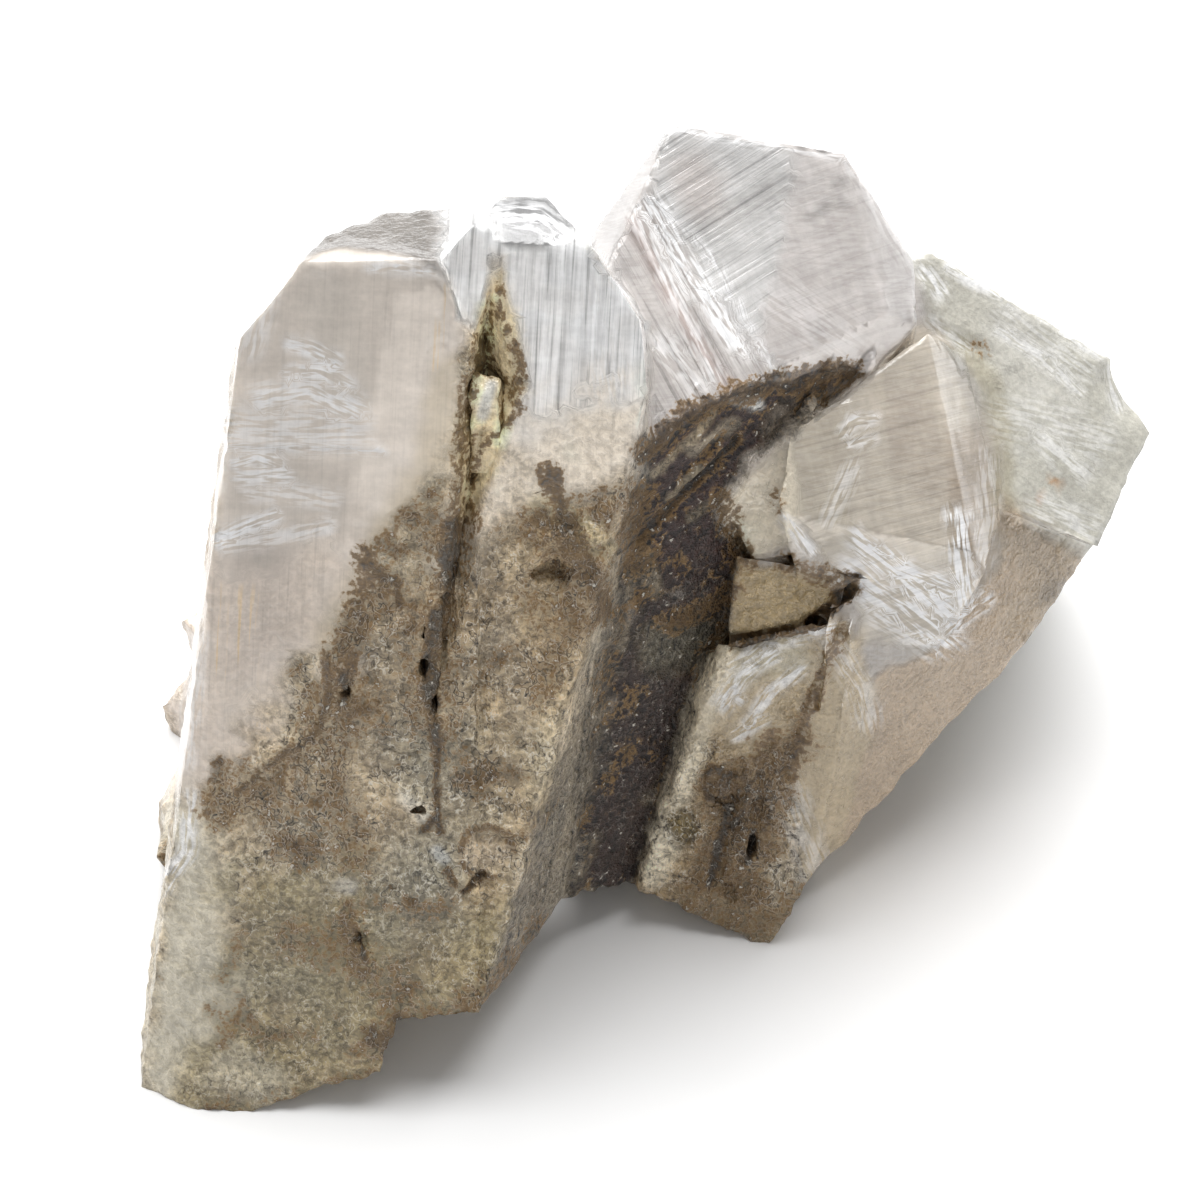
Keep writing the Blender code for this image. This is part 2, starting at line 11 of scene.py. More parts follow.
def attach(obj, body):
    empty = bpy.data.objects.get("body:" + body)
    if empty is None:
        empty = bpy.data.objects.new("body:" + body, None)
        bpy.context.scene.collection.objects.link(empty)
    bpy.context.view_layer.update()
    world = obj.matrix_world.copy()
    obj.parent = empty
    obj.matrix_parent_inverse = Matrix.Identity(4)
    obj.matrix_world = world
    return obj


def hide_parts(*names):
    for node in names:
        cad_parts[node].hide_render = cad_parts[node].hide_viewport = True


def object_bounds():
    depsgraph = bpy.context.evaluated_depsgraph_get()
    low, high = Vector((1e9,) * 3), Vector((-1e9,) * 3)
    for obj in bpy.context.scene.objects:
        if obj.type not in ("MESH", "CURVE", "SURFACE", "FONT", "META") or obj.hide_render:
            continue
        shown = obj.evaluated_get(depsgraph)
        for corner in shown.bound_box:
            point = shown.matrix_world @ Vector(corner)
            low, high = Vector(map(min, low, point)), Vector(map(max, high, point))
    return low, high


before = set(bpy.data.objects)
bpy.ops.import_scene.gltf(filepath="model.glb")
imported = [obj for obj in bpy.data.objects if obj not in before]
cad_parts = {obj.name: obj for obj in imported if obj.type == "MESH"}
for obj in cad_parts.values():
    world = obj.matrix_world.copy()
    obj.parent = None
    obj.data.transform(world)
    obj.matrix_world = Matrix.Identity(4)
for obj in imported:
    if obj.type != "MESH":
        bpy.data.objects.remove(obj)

cad_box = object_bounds()

# Driving dimensions, in millimetres and degrees
MM = 0.001
VIEW_ELEVATION = 50.0
VIEW_DISTANCE = 320.0
VIEW_CENTRE_UP = 39.6
MIDDLE = (3.36, 31.60, 0.0)
LENS = 128.0
SENSOR = 36.0

COARSE_EDGE = 2.0
SPLIT_STEPS = (9.0, 5.0, 2.8, 1.7, 1.1, 0.85)
ETCHED_STEPS = (0.58, 0.42)
ETCHED_FROM = 0.42
FLAT_ANGLE = 0.002
CREASE_ANGLE = 12.0
SHARP_ANGLE = 40.0
BOX_MARGIN = 0.02

RISE_SIN = math.sin(math.radians(VIEW_ELEVATION))
RISE_COS = math.cos(math.radians(VIEW_ELEVATION))

# Colours of the crystal and its stains, linear; a few hold painted light or shade, as noted
PINK = (0.83, 0.75, 0.67)
HIDDEN_PINK = (0.57, 0.515, 0.46)
# Painted shade: the crystal's pink made much darker on the top facets, where the overhead light and its reflection
# fall strongly
SHADED_TOP_PINK = (0.23, 0.21, 0.19)
LOW_PINK = (0.80, 0.69, 0.59)
SILVER = (0.94, 0.93, 0.92)
CHIP = (0.25, 0.25, 0.25)
FROST = (0.94, 0.83, 0.69)
# Painted light: a brown ochre made much lighter to fill the shade inside the deep cleft
LIT_CLEFT_OCHRE = (0.94, 0.78, 0.50)
ETCHED = (0.50, 0.395, 0.255)
LOW_ETCHED = (0.355, 0.285, 0.155)
WARM_ETCHED = (0.50, 0.385, 0.235)
PALE_GREEN = (0.66, 0.60, 0.47)
STRIP_GREY = (0.245, 0.205, 0.15)
# Painted shade, partly real: the recessed wall between the prisms is dark brown, painted darker still as the shade of
# the hollow
SHADED_WALL_BROWN = (0.034, 0.013, 0.001)
SHADED_WALL_GREY = (0.034, 0.016, 0.004)
BACK_SILVER = (0.78, 0.77, 0.76)
BACK_PINK = (0.82, 0.77, 0.745)
BULGE_PINK = (0.77, 0.69, 0.58)
BLOCK_GREEN = (0.69, 0.67, 0.59)
LOW_RIGHT = (0.58, 0.44, 0.30)
FRONT_BEIGE = (0.36, 0.26, 0.14)
FRONT_LIGHT = (0.60, 0.48, 0.31)
WEDGE_BEIGE = (0.53, 0.40, 0.215)
WEDGE_LIGHT = (0.93, 0.84, 0.68)
CRUST = (0.40, 0.34, 0.255)
WHITE = (0.95, 0.95, 0.96)
OCHRE = (0.210, 0.125, 0.045)
BROWN = (0.080, 0.040, 0.008)
DARK = (0.020, 0.014, 0.009)
GOLD = (0.80, 0.62, 0.40)
RUST = (0.60, 0.33, 0.14)
# Colour of the light fibres on etched faces, and of painted highlight dots
FIBRE_AND_GLINT_WHITE = (0.80, 0.76, 0.67)

# Zones of the front: outline, soft edge, colour, clearness, roughness, relief
ZONES = [
    ("whole_left", [(-35.2, -0.1), (-35.2, 17.1), (-30.8, 42.6), (-27.8, 62.1), (-22.5, 66.6), (-9.0, 71.1), (-3.0, 70.3), (3.8, 59.8), (3.8, 51.6), (1.5, 42.6), (0.0, 18.6), (-4.5, 12.6), (-9.0, 8.1), (-16.5, 3.6), (-27.0, -0.9)], 1.2, ETCHED, 0.0, 0.42, 1.0),
    ("left_pink", [(-27.4, 61.3), (-22.5, 66.6), (-13.5, 70.3), (-9.8, 70.3), (-11.1, 64.3), (-10.3, 59.8), (-11.1, 54.6), (-12.0, 49.4), (-15.0, 45.6), (-17.1, 43.7), (-18.6, 39.6), (-19.9, 36.6), (-22.5, 35.1), (-26.6, 30.6), (-30.0, 26.8), (-32.6, 24.6), (-31.1, 32.9), (-30.0, 39.6), (-28.9, 48.6)], 1.0, PINK, 0.24, 0.13, 0.10),
    # Top facets of the left prism: painted shade, far darker than the pink below
    ("left_top", [(-28.1, 61.3), (-22.5, 65.0), (-19.1, 65.7), (-15.0, 65.3), (-12.0, 64.2), (-9.8, 70.3), (-15.0, 71.1), (-23.2, 67.0), (-28.1, 62.8)], 0.3, SHADED_TOP_PINK, 0.30, 0.19, 0.15),
    ("left_low_pink", [(-30.8, 42.6), (-20.2, 44.1), (-19.5, 39.6), (-20.6, 35.9), (-24.0, 32.9), (-27.8, 28.3), (-31.5, 24.6), (-32.2, 30.6)], 3.0, LOW_PINK, 0.15, 0.20, 0.22),
    ("left_foot", [(-36.0, 2.1), (-33.8, 14.8), (-32.1, 24.6), (-29.6, 22.3), (-27.0, 17.1), (-25.9, 9.6), (-24.4, 5.1), (-27.4, -0.9), (-33.0, -0.9)], 2.2, PALE_GREEN, 0.14, 0.26, 0.43),
    ("left_low", [(-28.1, 18.6), (-20.2, 20.1), (-9.8, 17.1), (-4.5, 17.1), (-6.0, 10.3), (-15.0, 4.3), (-27.0, -0.9), (-33.8, -0.9), (-27.4, 9.6)], 3.0, LOW_ETCHED, 0.02, 0.37, 0.7),
    ("silver", [(-11.8, 68.5), (-8.2, 70.3), (-3.0, 70.0), (0.4, 65.1), (3.8, 61.3), (3.9, 54.6), (3.0, 50.5), (-0.8, 49.4), (-4.9, 49.9), (-6.9, 51.6), (-6.4, 54.6), (-5.7, 55.7), (-7.7, 65.2), (-9.2, 59.8), (-10.7, 62.1), (-12.0, 64.7)], 0.7, SILVER, 0.12, 0.14, 0.10),
    ("chip", [(-8.4, 69.9), (-3.0, 70.2), (-1.5, 68.5), (-2.1, 66.6), (-4.5, 65.7), (-7.1, 66.1), (-8.2, 68.0)], 0.4, CHIP, 0.20, 0.19, 0.15),
    ("frosted", [(-6.4, 54.8), (4.1, 55.2), (3.0, 51.6), (1.6, 46.7), (-3.0, 45.6), (-7.1, 45.6), (-9.2, 42.6), (-10.9, 42.6), (-10.3, 48.6), (-7.5, 51.6)], 3.2, FROST, 0.12, 0.26, 0.30),
    ("warm_etched", [(-7.1, 45.2), (1.5, 47.9), (0.0, 39.6), (-3.0, 32.1), (-6.0, 20.1), (-8.6, 17.8), (-10.9, 20.8), (-9.8, 35.9)], 2.0, WARM_ETCHED, 0.0, 0.42, 1.0),
    # The cleft in the left prism: painted light, lighter than its own brown to offset its shade
    ("fissure", [(-7.7, 65.2), (-6.8, 62.1), (-5.8, 58.7), (-5.4, 55.2), (-6.4, 54.2), (-6.9, 52.4), (-8.2, 48.6), (-9.8, 45.6), (-10.9, 45.6), (-10.7, 50.9), (-10.0, 54.6), (-9.6, 58.3), (-8.5, 62.1)], 0.5, LIT_CLEFT_OCHRE, 0.05, 0.28, 0.7),
    ("wall_strip", [(3.4, 51.9), (4.1, 49.4), (1.3, 32.1), (-0.9, 18.6), (-3.9, 13.7), (-7.1, 8.8), (-8.8, 8.7), (-6.0, 19.2), (-3.0, 30.4), (1.6, 44.7)], 0.5, STRIP_GREY, 0.0, 0.42, 0.6),
    # The recessed wall, high and low: its dark brown stain with painted shade of the hollow
    ("wall_high", [(3.0, 51.6), (7.5, 54.2), (14.2, 56.5), (19.1, 57.4), (18.8, 56.1), (15.0, 52.2), (10.9, 49.9), (9.2, 46.0), (10.9, 42.6), (10.1, 39.6), (3.0, 38.9), (1.3, 42.6)], 0.8, SHADED_WALL_BROWN, 0.0, 0.60, 1.0),
    ("wall_low", [(1.9, 41.9), (10.5, 41.9), (9.4, 36.2), (3.0, 17.7), (0.0, 17.1), (-1.9, 17.8), (-0.4, 27.6)], 1.2, SHADED_WALL_GREY, 0.0, 0.65, 0.7),
    ("back", [(-1.1, 67.0), (5.4, 75.8), (18.8, 73.5), (24.0, 65.0), (24.1, 60.4), (21.4, 56.7), (18.4, 57.2), (7.5, 54.4), (3.9, 51.6), (3.8, 54.6), (3.9, 59.8)], 0.4, BACK_PINK, 0.52, 0.12, 0.05),
    ("back_bands", [(5.1, 75.0), (14.6, 73.5), (14.2, 69.6), (13.3, 64.3), (12.0, 59.8), (10.1, 58.7), (6.8, 64.3), (3.8, 69.6)], 0.8, BACK_SILVER, 0.45, 0.14, 0.05),
    ("back_steps", [(0.4, 65.0), (3.0, 69.6), (4.1, 69.2), (7.5, 62.8), (13.5, 56.7), (10.5, 55.2), (7.5, 54.4), (4.1, 51.6), (3.8, 59.8)], 0.6, BACK_PINK, 0.55, 0.14, 0.12),
    ("block", [(22.9, 65.8), (25.5, 65.8), (33.8, 61.2), (39.0, 57.6), (42.0, 52.4), (36.8, 41.9), (30.0, 46.4), (30.0, 52.4), (25.5, 60.2)], 0.4, BLOCK_GREEN, 0.38, 0.20, 0.30),
    ("bulge", [(23.8, 60.2), (21.0, 56.7), (15.0, 52.5), (13.5, 46.5), (16.5, 43.2), (18.9, 40.4), (19.6, 36.6), (25.5, 35.7), (30.1, 42.6), (30.1, 51.6), (25.6, 60.0)], 0.4, BULGE_PINK, 0.45, 0.14, 0.12),
    ("low_right", [(30.1, 46.7), (36.9, 42.4), (33.8, 38.5), (30.8, 34.0), (27.0, 30.2), (19.5, 22.0), (15.0, 16.7), (18.1, 24.6), (20.8, 34.4), (25.5, 35.9), (30.0, 42.6)], 0.5, LOW_RIGHT, 0.36, 0.24, 0.3),
    ("front", [(9.4, 36.6), (18.6, 37.9), (17.8, 35.9), (15.9, 32.1), (14.4, 26.8), (15.1, 17.1), (13.1, 13.3), (2.6, 17.7)], 0.5, FRONT_BEIGE, 0.05, 0.40, 0.6),
    ("front_top", [(9.8, 36.6), (18.4, 37.7), (16.9, 34.4), (15.0, 32.1), (12.8, 29.1), (7.5, 29.1), (7.9, 32.1)], 1.5, FRONT_LIGHT, 0.25, 0.24, 0.45),
    ("front_side", [(18.6, 37.9), (20.7, 32.9), (19.8, 27.6), (17.8, 19.2), (15.4, 16.7), (14.8, 24.6), (14.4, 26.8), (15.9, 32.1)], 0.4, FRONT_LIGHT, 0.30, 0.22, 0.25),
    ("low_wedge", [(10.3, 42.6), (19.5, 40.9), (15.1, 37.2), (9.6, 36.4)], 0.4, WEDGE_BEIGE, 0.20, 0.28, 0.5),
    ("high_wedge", [(8.7, 46.7), (14.2, 51.8), (15.3, 44.1), (11.2, 42.4)], 0.4, WEDGE_LIGHT, 0.25, 0.22, 0.3),
]

# Soft touches of colour, a few of them painted highlights: colour, strength, width and line
TINTS = [
    ((0.60, 0.50, 0.34), 0.55, 2.4, [(-11.1, 56.1), (-12.8, 49.4), (-15.6, 44.5), (-18.3, 39.6), (-19.9, 36.6)]),
    ((0.74, 0.68, 0.61), 0.50, 3.0, [(-20.2, 62.1), (-19.1, 55.4)]),
    ((0.62, 0.54, 0.48), 0.50, 4.0, [(-25.3, 42.6), (-26.2, 36.6)]),
    ((0.62, 0.52, 0.30), 0.60, 1.6, [(-4.5, 46.7), (-1.9, 45.6), (0.0, 43.7)]),
    ((0.60, 0.48, 0.30), 0.60, 1.4, [(-2.9, 35.1), (-3.9, 29.8), (-5.1, 24.6)]),
    ((0.27, 0.25, 0.185), 0.50, 5.0, [(-12.8, 29.1), (-10.5, 23.1), (-15.0, 17.1)]),
    ((0.62, 0.60, 0.55), 0.70, 0.9, [(-19.5, 18.2), (-18.8, 18.0)]),
    ((0.62, 0.60, 0.55), 0.80, 0.7, [(-12.2, 20.7), (-11.7, 20.1)]),
    # Painted highlight in the pits of the etched face
    ((0.60, 0.57, 0.50), 0.60, 1.0, [(-14.6, 24.6), (-13.2, 23.4)]),
    ((0.78, 0.77, 0.73), 0.80, 0.7, [(-8.2, 55.7), (-8.8, 53.5)]),
    # Painted highlights, partly the crystals' own white: light ovals on the small clear crystals above the wall
    ((0.82, 0.80, 0.75), 0.85, 0.9, [(10.3, 54.9), (11.7, 54.4)]),
    ((0.74, 0.70, 0.60), 0.70, 0.7, [(13.2, 56.5), (13.9, 56.2)]),
    ((0.66, 0.60, 0.48), 0.70, 0.6, [(16.6, 56.4), (18.1, 57.1)]),
    ((0.40, 0.33, 0.22), 0.60, 0.4, [(3.9, 49.0), (6.8, 51.6), (8.7, 53.7)]),
    ((0.36, 0.30, 0.20), 0.60, 0.4, [(5.1, 47.1), (7.5, 49.4)]),
    ((0.30, 0.25, 0.17), 0.50, 0.5, [(6.8, 45.6), (9.8, 47.9)]),
    ((0.26, 0.21, 0.14), 0.55, 0.6, [(2.5, 42.6), (2.2, 39.6), (1.6, 35.9)]),
    ((0.62, 0.58, 0.53), 0.55, 1.5, [(27.1, 56.9), (28.9, 53.1), (29.4, 49.4)]),
    ((0.24, 0.18, 0.115), 0.50, 2.4, [(-9.8, 42.6), (-7.5, 39.6), (-9.0, 35.1)]),
    ((0.24, 0.19, 0.125), 0.45, 2.4, [(-16.5, 36.6), (-15.0, 30.6), (-16.5, 27.6)]),
    ((0.42, 0.35, 0.25), 0.50, 2.0, [(-7.5, 36.6), (-6.0, 32.1)]),
    ((0.38, 0.33, 0.24), 0.45, 2.6, [(-22.5, 22.3), (-20.2, 18.6)]),
    ((0.22, 0.18, 0.115), 0.50, 2.6, [(-12.0, 14.8), (-15.0, 11.1)]),
    ((0.25, 0.21, 0.14), 0.45, 3.0, [(-24.8, 14.8), (-23.2, 9.6)]),
    ((0.60, 0.55, 0.43), 0.60, 2.8, [(-27.8, 4.0), (-25.3, 3.2)]),
    ((0.30, 0.25, 0.15), 0.40, 4.0, [(-22.5, 17.1), (-20.2, 8.8)]),
    ((0.56, 0.43, 0.28), 0.85, 1.9, [(-9.2, 20.7), (-7.8, 20.8)]),
    ((0.74, 0.60, 0.56), 0.65, 0.8, [(2.4, 68.0), (4.6, 63.4), (7.5, 58.7), (10.1, 55.2)]),
    ((0.70, 0.61, 0.57), 0.50, 2.5, [(6.8, 71.8), (7.9, 69.6)]),
    ((0.60, 0.585, 0.57), 0.50, 1.6, [(7.5, 67.0), (12.8, 70.3)]),
    ((0.62, 0.555, 0.44), 0.45, 4.0, [(16.1, 52.4), (15.0, 47.1), (17.2, 44.1)]),
    ((0.56, 0.48, 0.40), 0.55, 3.5, [(22.9, 53.1), (24.8, 49.4)]),
    ((0.46, 0.37, 0.28), 0.80, 2.6, [(27.6, 50.9), (28.3, 47.1), (27.9, 42.6)]),
    ((0.50, 0.45, 0.31), 0.60, 1.3, [(27.4, 58.7), (29.4, 55.7), (30.1, 51.6), (30.2, 47.1)]),
    ((0.78, 0.76, 0.70), 0.50, 3.0, [(30.8, 59.8), (34.5, 53.1)]),
    (RUST, 0.85, 0.42, [(34.0, 48.5), (34.4, 48.2)]),
    (RUST, 0.85, 0.42, [(32.9, 47.5), (33.2, 47.3)]),
    ((0.13, 0.11, 0.09), 0.70, 0.9, [(33.4, 39.8), (34.4, 40.5)]),
    ((0.46, 0.36, 0.24), 0.50, 3.0, [(30.8, 44.9), (34.5, 42.2), (32.2, 38.1)]),
    ((0.62, 0.58, 0.45), 0.60, 2.6, [(10.9, 34.7), (14.2, 35.5)]),
    ((0.50, 0.42, 0.30), 0.60, 1.8, [(13.1, 17.8), (15.0, 20.8), (15.0, 23.8)]),
    ((0.42, 0.41, 0.39), 0.60, 0.5, [(15.4, 68.2), (18.0, 69.5)]),
    ((0.42, 0.41, 0.39), 0.50, 0.5, [(17.4, 70.8), (18.8, 71.2)]),
    ((0.30, 0.27, 0.22), 0.50, 1.0, [(3.4, 50.9), (2.7, 47.1), (1.6, 44.1)]),
    ((0.50, 0.42, 0.31), 0.60, 0.8, [(1.3, 42.6), (-0.8, 35.1), (-3.0, 28.3)]),
    ((0.80, 0.70, 0.52), 0.90, 1.6, [(9.2, 35.9), (6.8, 28.3), (4.1, 19.0)]),
    ((0.16, 0.145, 0.10), 0.50, 2.6, [(4.5, 35.9), (7.5, 36.6)]),
    ((0.33, 0.27, 0.18), 0.50, 1.0, [(3.0, 43.7), (4.1, 40.4)]),
    ((0.60, 0.56, 0.48), 0.55, 0.8, [(10.1, 54.8), (12.0, 55.4)]),
    ((0.52, 0.45, 0.34), 0.45, 0.8, [(6.8, 50.9), (10.1, 52.7)]),
    ((0.09, 0.055, 0.012), 1.0, 1.8, [(6.1, 23.0), (6.3, 22.6)]),
    ((0.21, 0.145, 0.045), 1.0, 1.2, [(6.1, 23.0), (6.3, 22.6)]),
]

# Strokes of dirt: strength, width and line
DIRT = [
    (0.62, 1.0, [(-8.7, 59.1), (-9.6, 56.5), (-10.0, 53.9), (-10.7, 50.9)]),
    (0.60, 0.9, [(-6.9, 59.8), (-6.0, 56.7), (-6.6, 54.6)]),
    (0.55, 0.8, [(-7.5, 63.2), (-7.7, 60.6)]),
    (0.60, 0.5, [(-8.8, 57.6), (-9.8, 55.7), (-10.2, 53.1), (-10.7, 50.1), (-11.2, 45.6)]),
    (0.60, 0.5, [(-5.6, 54.4), (-7.5, 52.4), (-9.0, 50.9), (-9.8, 48.6)]),
    (1.20, 0.7, [(-11.2, 43.7), (-11.5, 42.4), (-11.5, 41.1)]),
    (1.25, 0.7, [(-12.4, 38.7), (-12.6, 36.6)]),
    (1.20, 0.7, [(-12.9, 35.7), (-13.1, 34.2), (-12.8, 32.9)]),
    (1.20, 0.6, [(-12.4, 32.1), (-12.3, 29.8)]),
    (0.85, 1.1, [(-11.2, 45.6), (-11.5, 41.1), (-12.3, 36.6), (-13.0, 34.0), (-12.3, 29.1)]),
    (1.15, 0.45, [(-11.1, 45.6), (-11.3, 43.7), (-11.6, 41.5), (-11.9, 39.6), (-12.4, 37.7), (-12.8, 35.7), (-13.0, 32.9), (-12.5, 31.0), (-12.2, 28.5)]),
    (1.10, 0.40, [(-12.2, 28.5), (-12.3, 25.3), (-12.0, 22.3)]),
    (1.30, 0.45, [(-12.9, 35.1), (-12.2, 33.9), (-12.7, 32.5)]),
    (1.20, 0.40, [(-11.5, 42.6), (-10.9, 41.7), (-11.3, 40.7)]),
    (0.42, 3.5, [(-10.9, 45.6), (-12.0, 40.4), (-12.8, 35.9), (-12.6, 30.6)]),
    (0.85, 1.5, [(-3.7, 48.8), (-3.0, 46.9), (-2.5, 45.6)]),
    (0.72, 1.8, [(-4.1, 45.6), (-1.9, 43.7), (-0.6, 41.1), (0.0, 38.9)]),
    (0.50, 2.6, [(-4.9, 44.9), (-3.0, 42.6), (-1.5, 39.6), (-2.2, 37.4)]),
    (0.36, 2.0, [(-5.2, 39.6), (-3.0, 35.9), (-4.5, 32.1)]),
    (0.85, 0.9, [(-17.8, 43.2), (-17.1, 41.9), (-15.4, 40.9), (-15.0, 39.2)]),
    (0.55, 2.0, [(-17.4, 42.6), (-16.1, 40.4)]),
    (0.60, 2.0, [(-16.9, 41.1), (-18.4, 38.1), (-19.1, 35.1), (-19.5, 32.1)]),
    (0.80, 0.8, [(-20.6, 35.9), (-20.2, 32.9), (-21.0, 30.0), (-23.8, 28.0), (-27.1, 25.3)]),
    (0.48, 2.6, [(-20.6, 32.1), (-21.8, 28.7), (-24.8, 25.3), (-28.9, 23.8)]),
    (0.40, 3.0, [(-18.8, 32.1), (-20.2, 26.1), (-18.8, 20.8)]),
    (1.15, 0.7, [(-19.3, 34.2), (-19.0, 32.4)]),
    (1.15, 0.7, [(-18.1, 14.8), (-17.7, 13.0)]),
    (0.70, 1.8, [(-19.1, 35.1), (-19.0, 31.7)]),
    (0.60, 1.8, [(-18.8, 16.0), (-17.6, 11.8)]),
    (1.05, 0.6, [(-13.2, 22.3), (-12.5, 23.2)]),
    (0.62, 0.5, [(-10.5, 20.7), (-10.0, 22.1), (-8.4, 22.6), (-6.9, 22.1), (-6.5, 20.8)]),
    (0.60, 0.4, [(-10.3, 19.9), (-9.2, 18.6), (-7.5, 18.9)]),
    (1.05, 0.4, [(-10.2, 17.6), (-8.7, 19.1)]),
    (0.80, 0.5, [(-11.5, 19.2), (-10.9, 18.2)]),
    (0.36, 3.0, [(-22.5, 14.1), (-18.0, 12.6), (-15.0, 9.6), (-16.5, 5.8)]),
    (0.80, 1.2, [(-17.2, 7.0), (-16.1, 6.2), (-15.1, 8.1)]),
    (0.50, 1.6, [(-16.5, 4.0), (-20.2, 2.5), (-23.2, 1.2)]),
    (0.40, 2.2, [(-15.0, 8.5), (-11.2, 8.5), (-7.5, 10.3), (-4.5, 14.8)]),
    (0.80, 1.4, [(3.4, 50.7), (6.8, 53.7), (9.8, 54.9), (12.8, 55.8), (16.5, 56.5), (18.8, 57.0)]),
    (1.05, 1.0, [(12.9, 56.2), (13.9, 55.5), (15.0, 55.7)]),
    (0.90, 0.7, [(15.4, 56.5), (18.6, 57.4)]),
    (0.90, 0.9, [(15.0, 55.0), (16.6, 55.5)]),
    (1.15, 0.45, [(3.0, 44.1), (6.8, 47.7), (10.5, 51.4)]),
    (0.60, 2.6, [(3.0, 47.1), (2.6, 42.6)]),
    (0.65, 1.6, [(9.0, 47.1), (9.6, 45.6), (10.9, 42.6)]),
    (0.70, 1.2, [(10.1, 40.4), (7.5, 38.7), (4.9, 37.7)]),
    (0.95, 0.6, [(19.3, 40.8), (17.4, 39.0), (15.1, 37.2), (12.4, 36.8), (9.8, 36.4)]),
    (0.55, 1.5, [(18.8, 40.6), (16.9, 41.5), (14.2, 42.2)]),
    (0.85, 1.1, [(18.9, 40.8), (17.8, 40.4)]),
    (0.60, 1.0, [(18.0, 37.0), (17.2, 35.1), (15.9, 32.1), (15.0, 28.9), (14.2, 26.7)]),
    (0.80, 0.9, [(8.4, 26.8), (9.2, 25.9), (8.8, 24.6)]),
    (0.80, 1.0, [(10.9, 26.8), (11.2, 24.6), (10.3, 22.3)]),
    (0.55, 2.4, [(15.0, 29.1), (13.1, 27.2), (10.5, 24.6), (9.4, 20.8)]),
    (1.25, 0.6, [(9.6, 24.0), (9.2, 22.2), (8.7, 20.2), (8.3, 18.4)]),
    (1.30, 0.5, [(9.2, 22.2), (10.0, 22.6), (10.6, 23.5)]),
    (1.30, 0.6, [(11.5, 22.2), (11.1, 20.2)]),
    (1.00, 0.4, [(7.9, 26.4), (8.4, 27.1), (9.2, 27.0), (9.5, 26.1), (9.2, 25.1), (8.2, 24.8), (7.9, 25.5)]),
    (1.00, 0.4, [(9.5, 26.1), (10.3, 26.8), (11.2, 26.1), (10.9, 24.9), (10.0, 24.4), (9.2, 25.1)]),
    (0.95, 0.4, [(11.2, 26.1), (12.2, 26.7), (12.8, 25.8), (12.3, 24.6), (11.2, 24.1)]),
    (0.95, 0.4, [(10.0, 24.4), (9.8, 23.1), (10.5, 22.2), (11.2, 22.9), (11.2, 24.1)]),
    (0.75, 1.2, [(12.8, 26.8), (11.6, 23.8), (10.5, 20.8)]),
    (0.62, 2.8, [(10.1, 26.1), (9.6, 22.3), (9.2, 19.3)]),
    (0.56, 2.8, [(7.9, 18.6), (11.2, 17.8)]),
    (0.66, 2.6, [(13.1, 28.3), (12.6, 24.6), (12.0, 21.6)]),
    (0.80, 1.6, [(8.4, 26.1), (10.5, 25.3), (10.9, 23.1)]),
    (0.95, 0.6, [(8.1, 26.7), (8.7, 27.0), (9.3, 26.2), (9.0, 25.2)]),
    (0.95, 0.6, [(10.7, 27.0), (11.1, 25.7), (10.8, 24.2), (10.2, 23.5)]),
    (0.85, 0.7, [(12.4, 26.1), (12.9, 24.6), (12.4, 22.3)]),
    (0.80, 0.7, [(14.6, 28.7), (14.1, 27.2), (12.8, 26.5)]),
    (0.80, 1.0, [(10.7, 21.4), (10.7, 20.2)]),
    (0.45, 1.2, [(14.2, 26.1), (13.5, 23.1), (12.0, 20.1)]),
    (0.40, 2.6, [(7.5, 16.3), (12.0, 15.2), (14.2, 16.7)]),
    (0.30, 1.2, [(13.1, 47.5), (13.5, 46.7)]),
    (0.30, 1.0, [(28.3, 58.9), (28.9, 58.2)]),
]

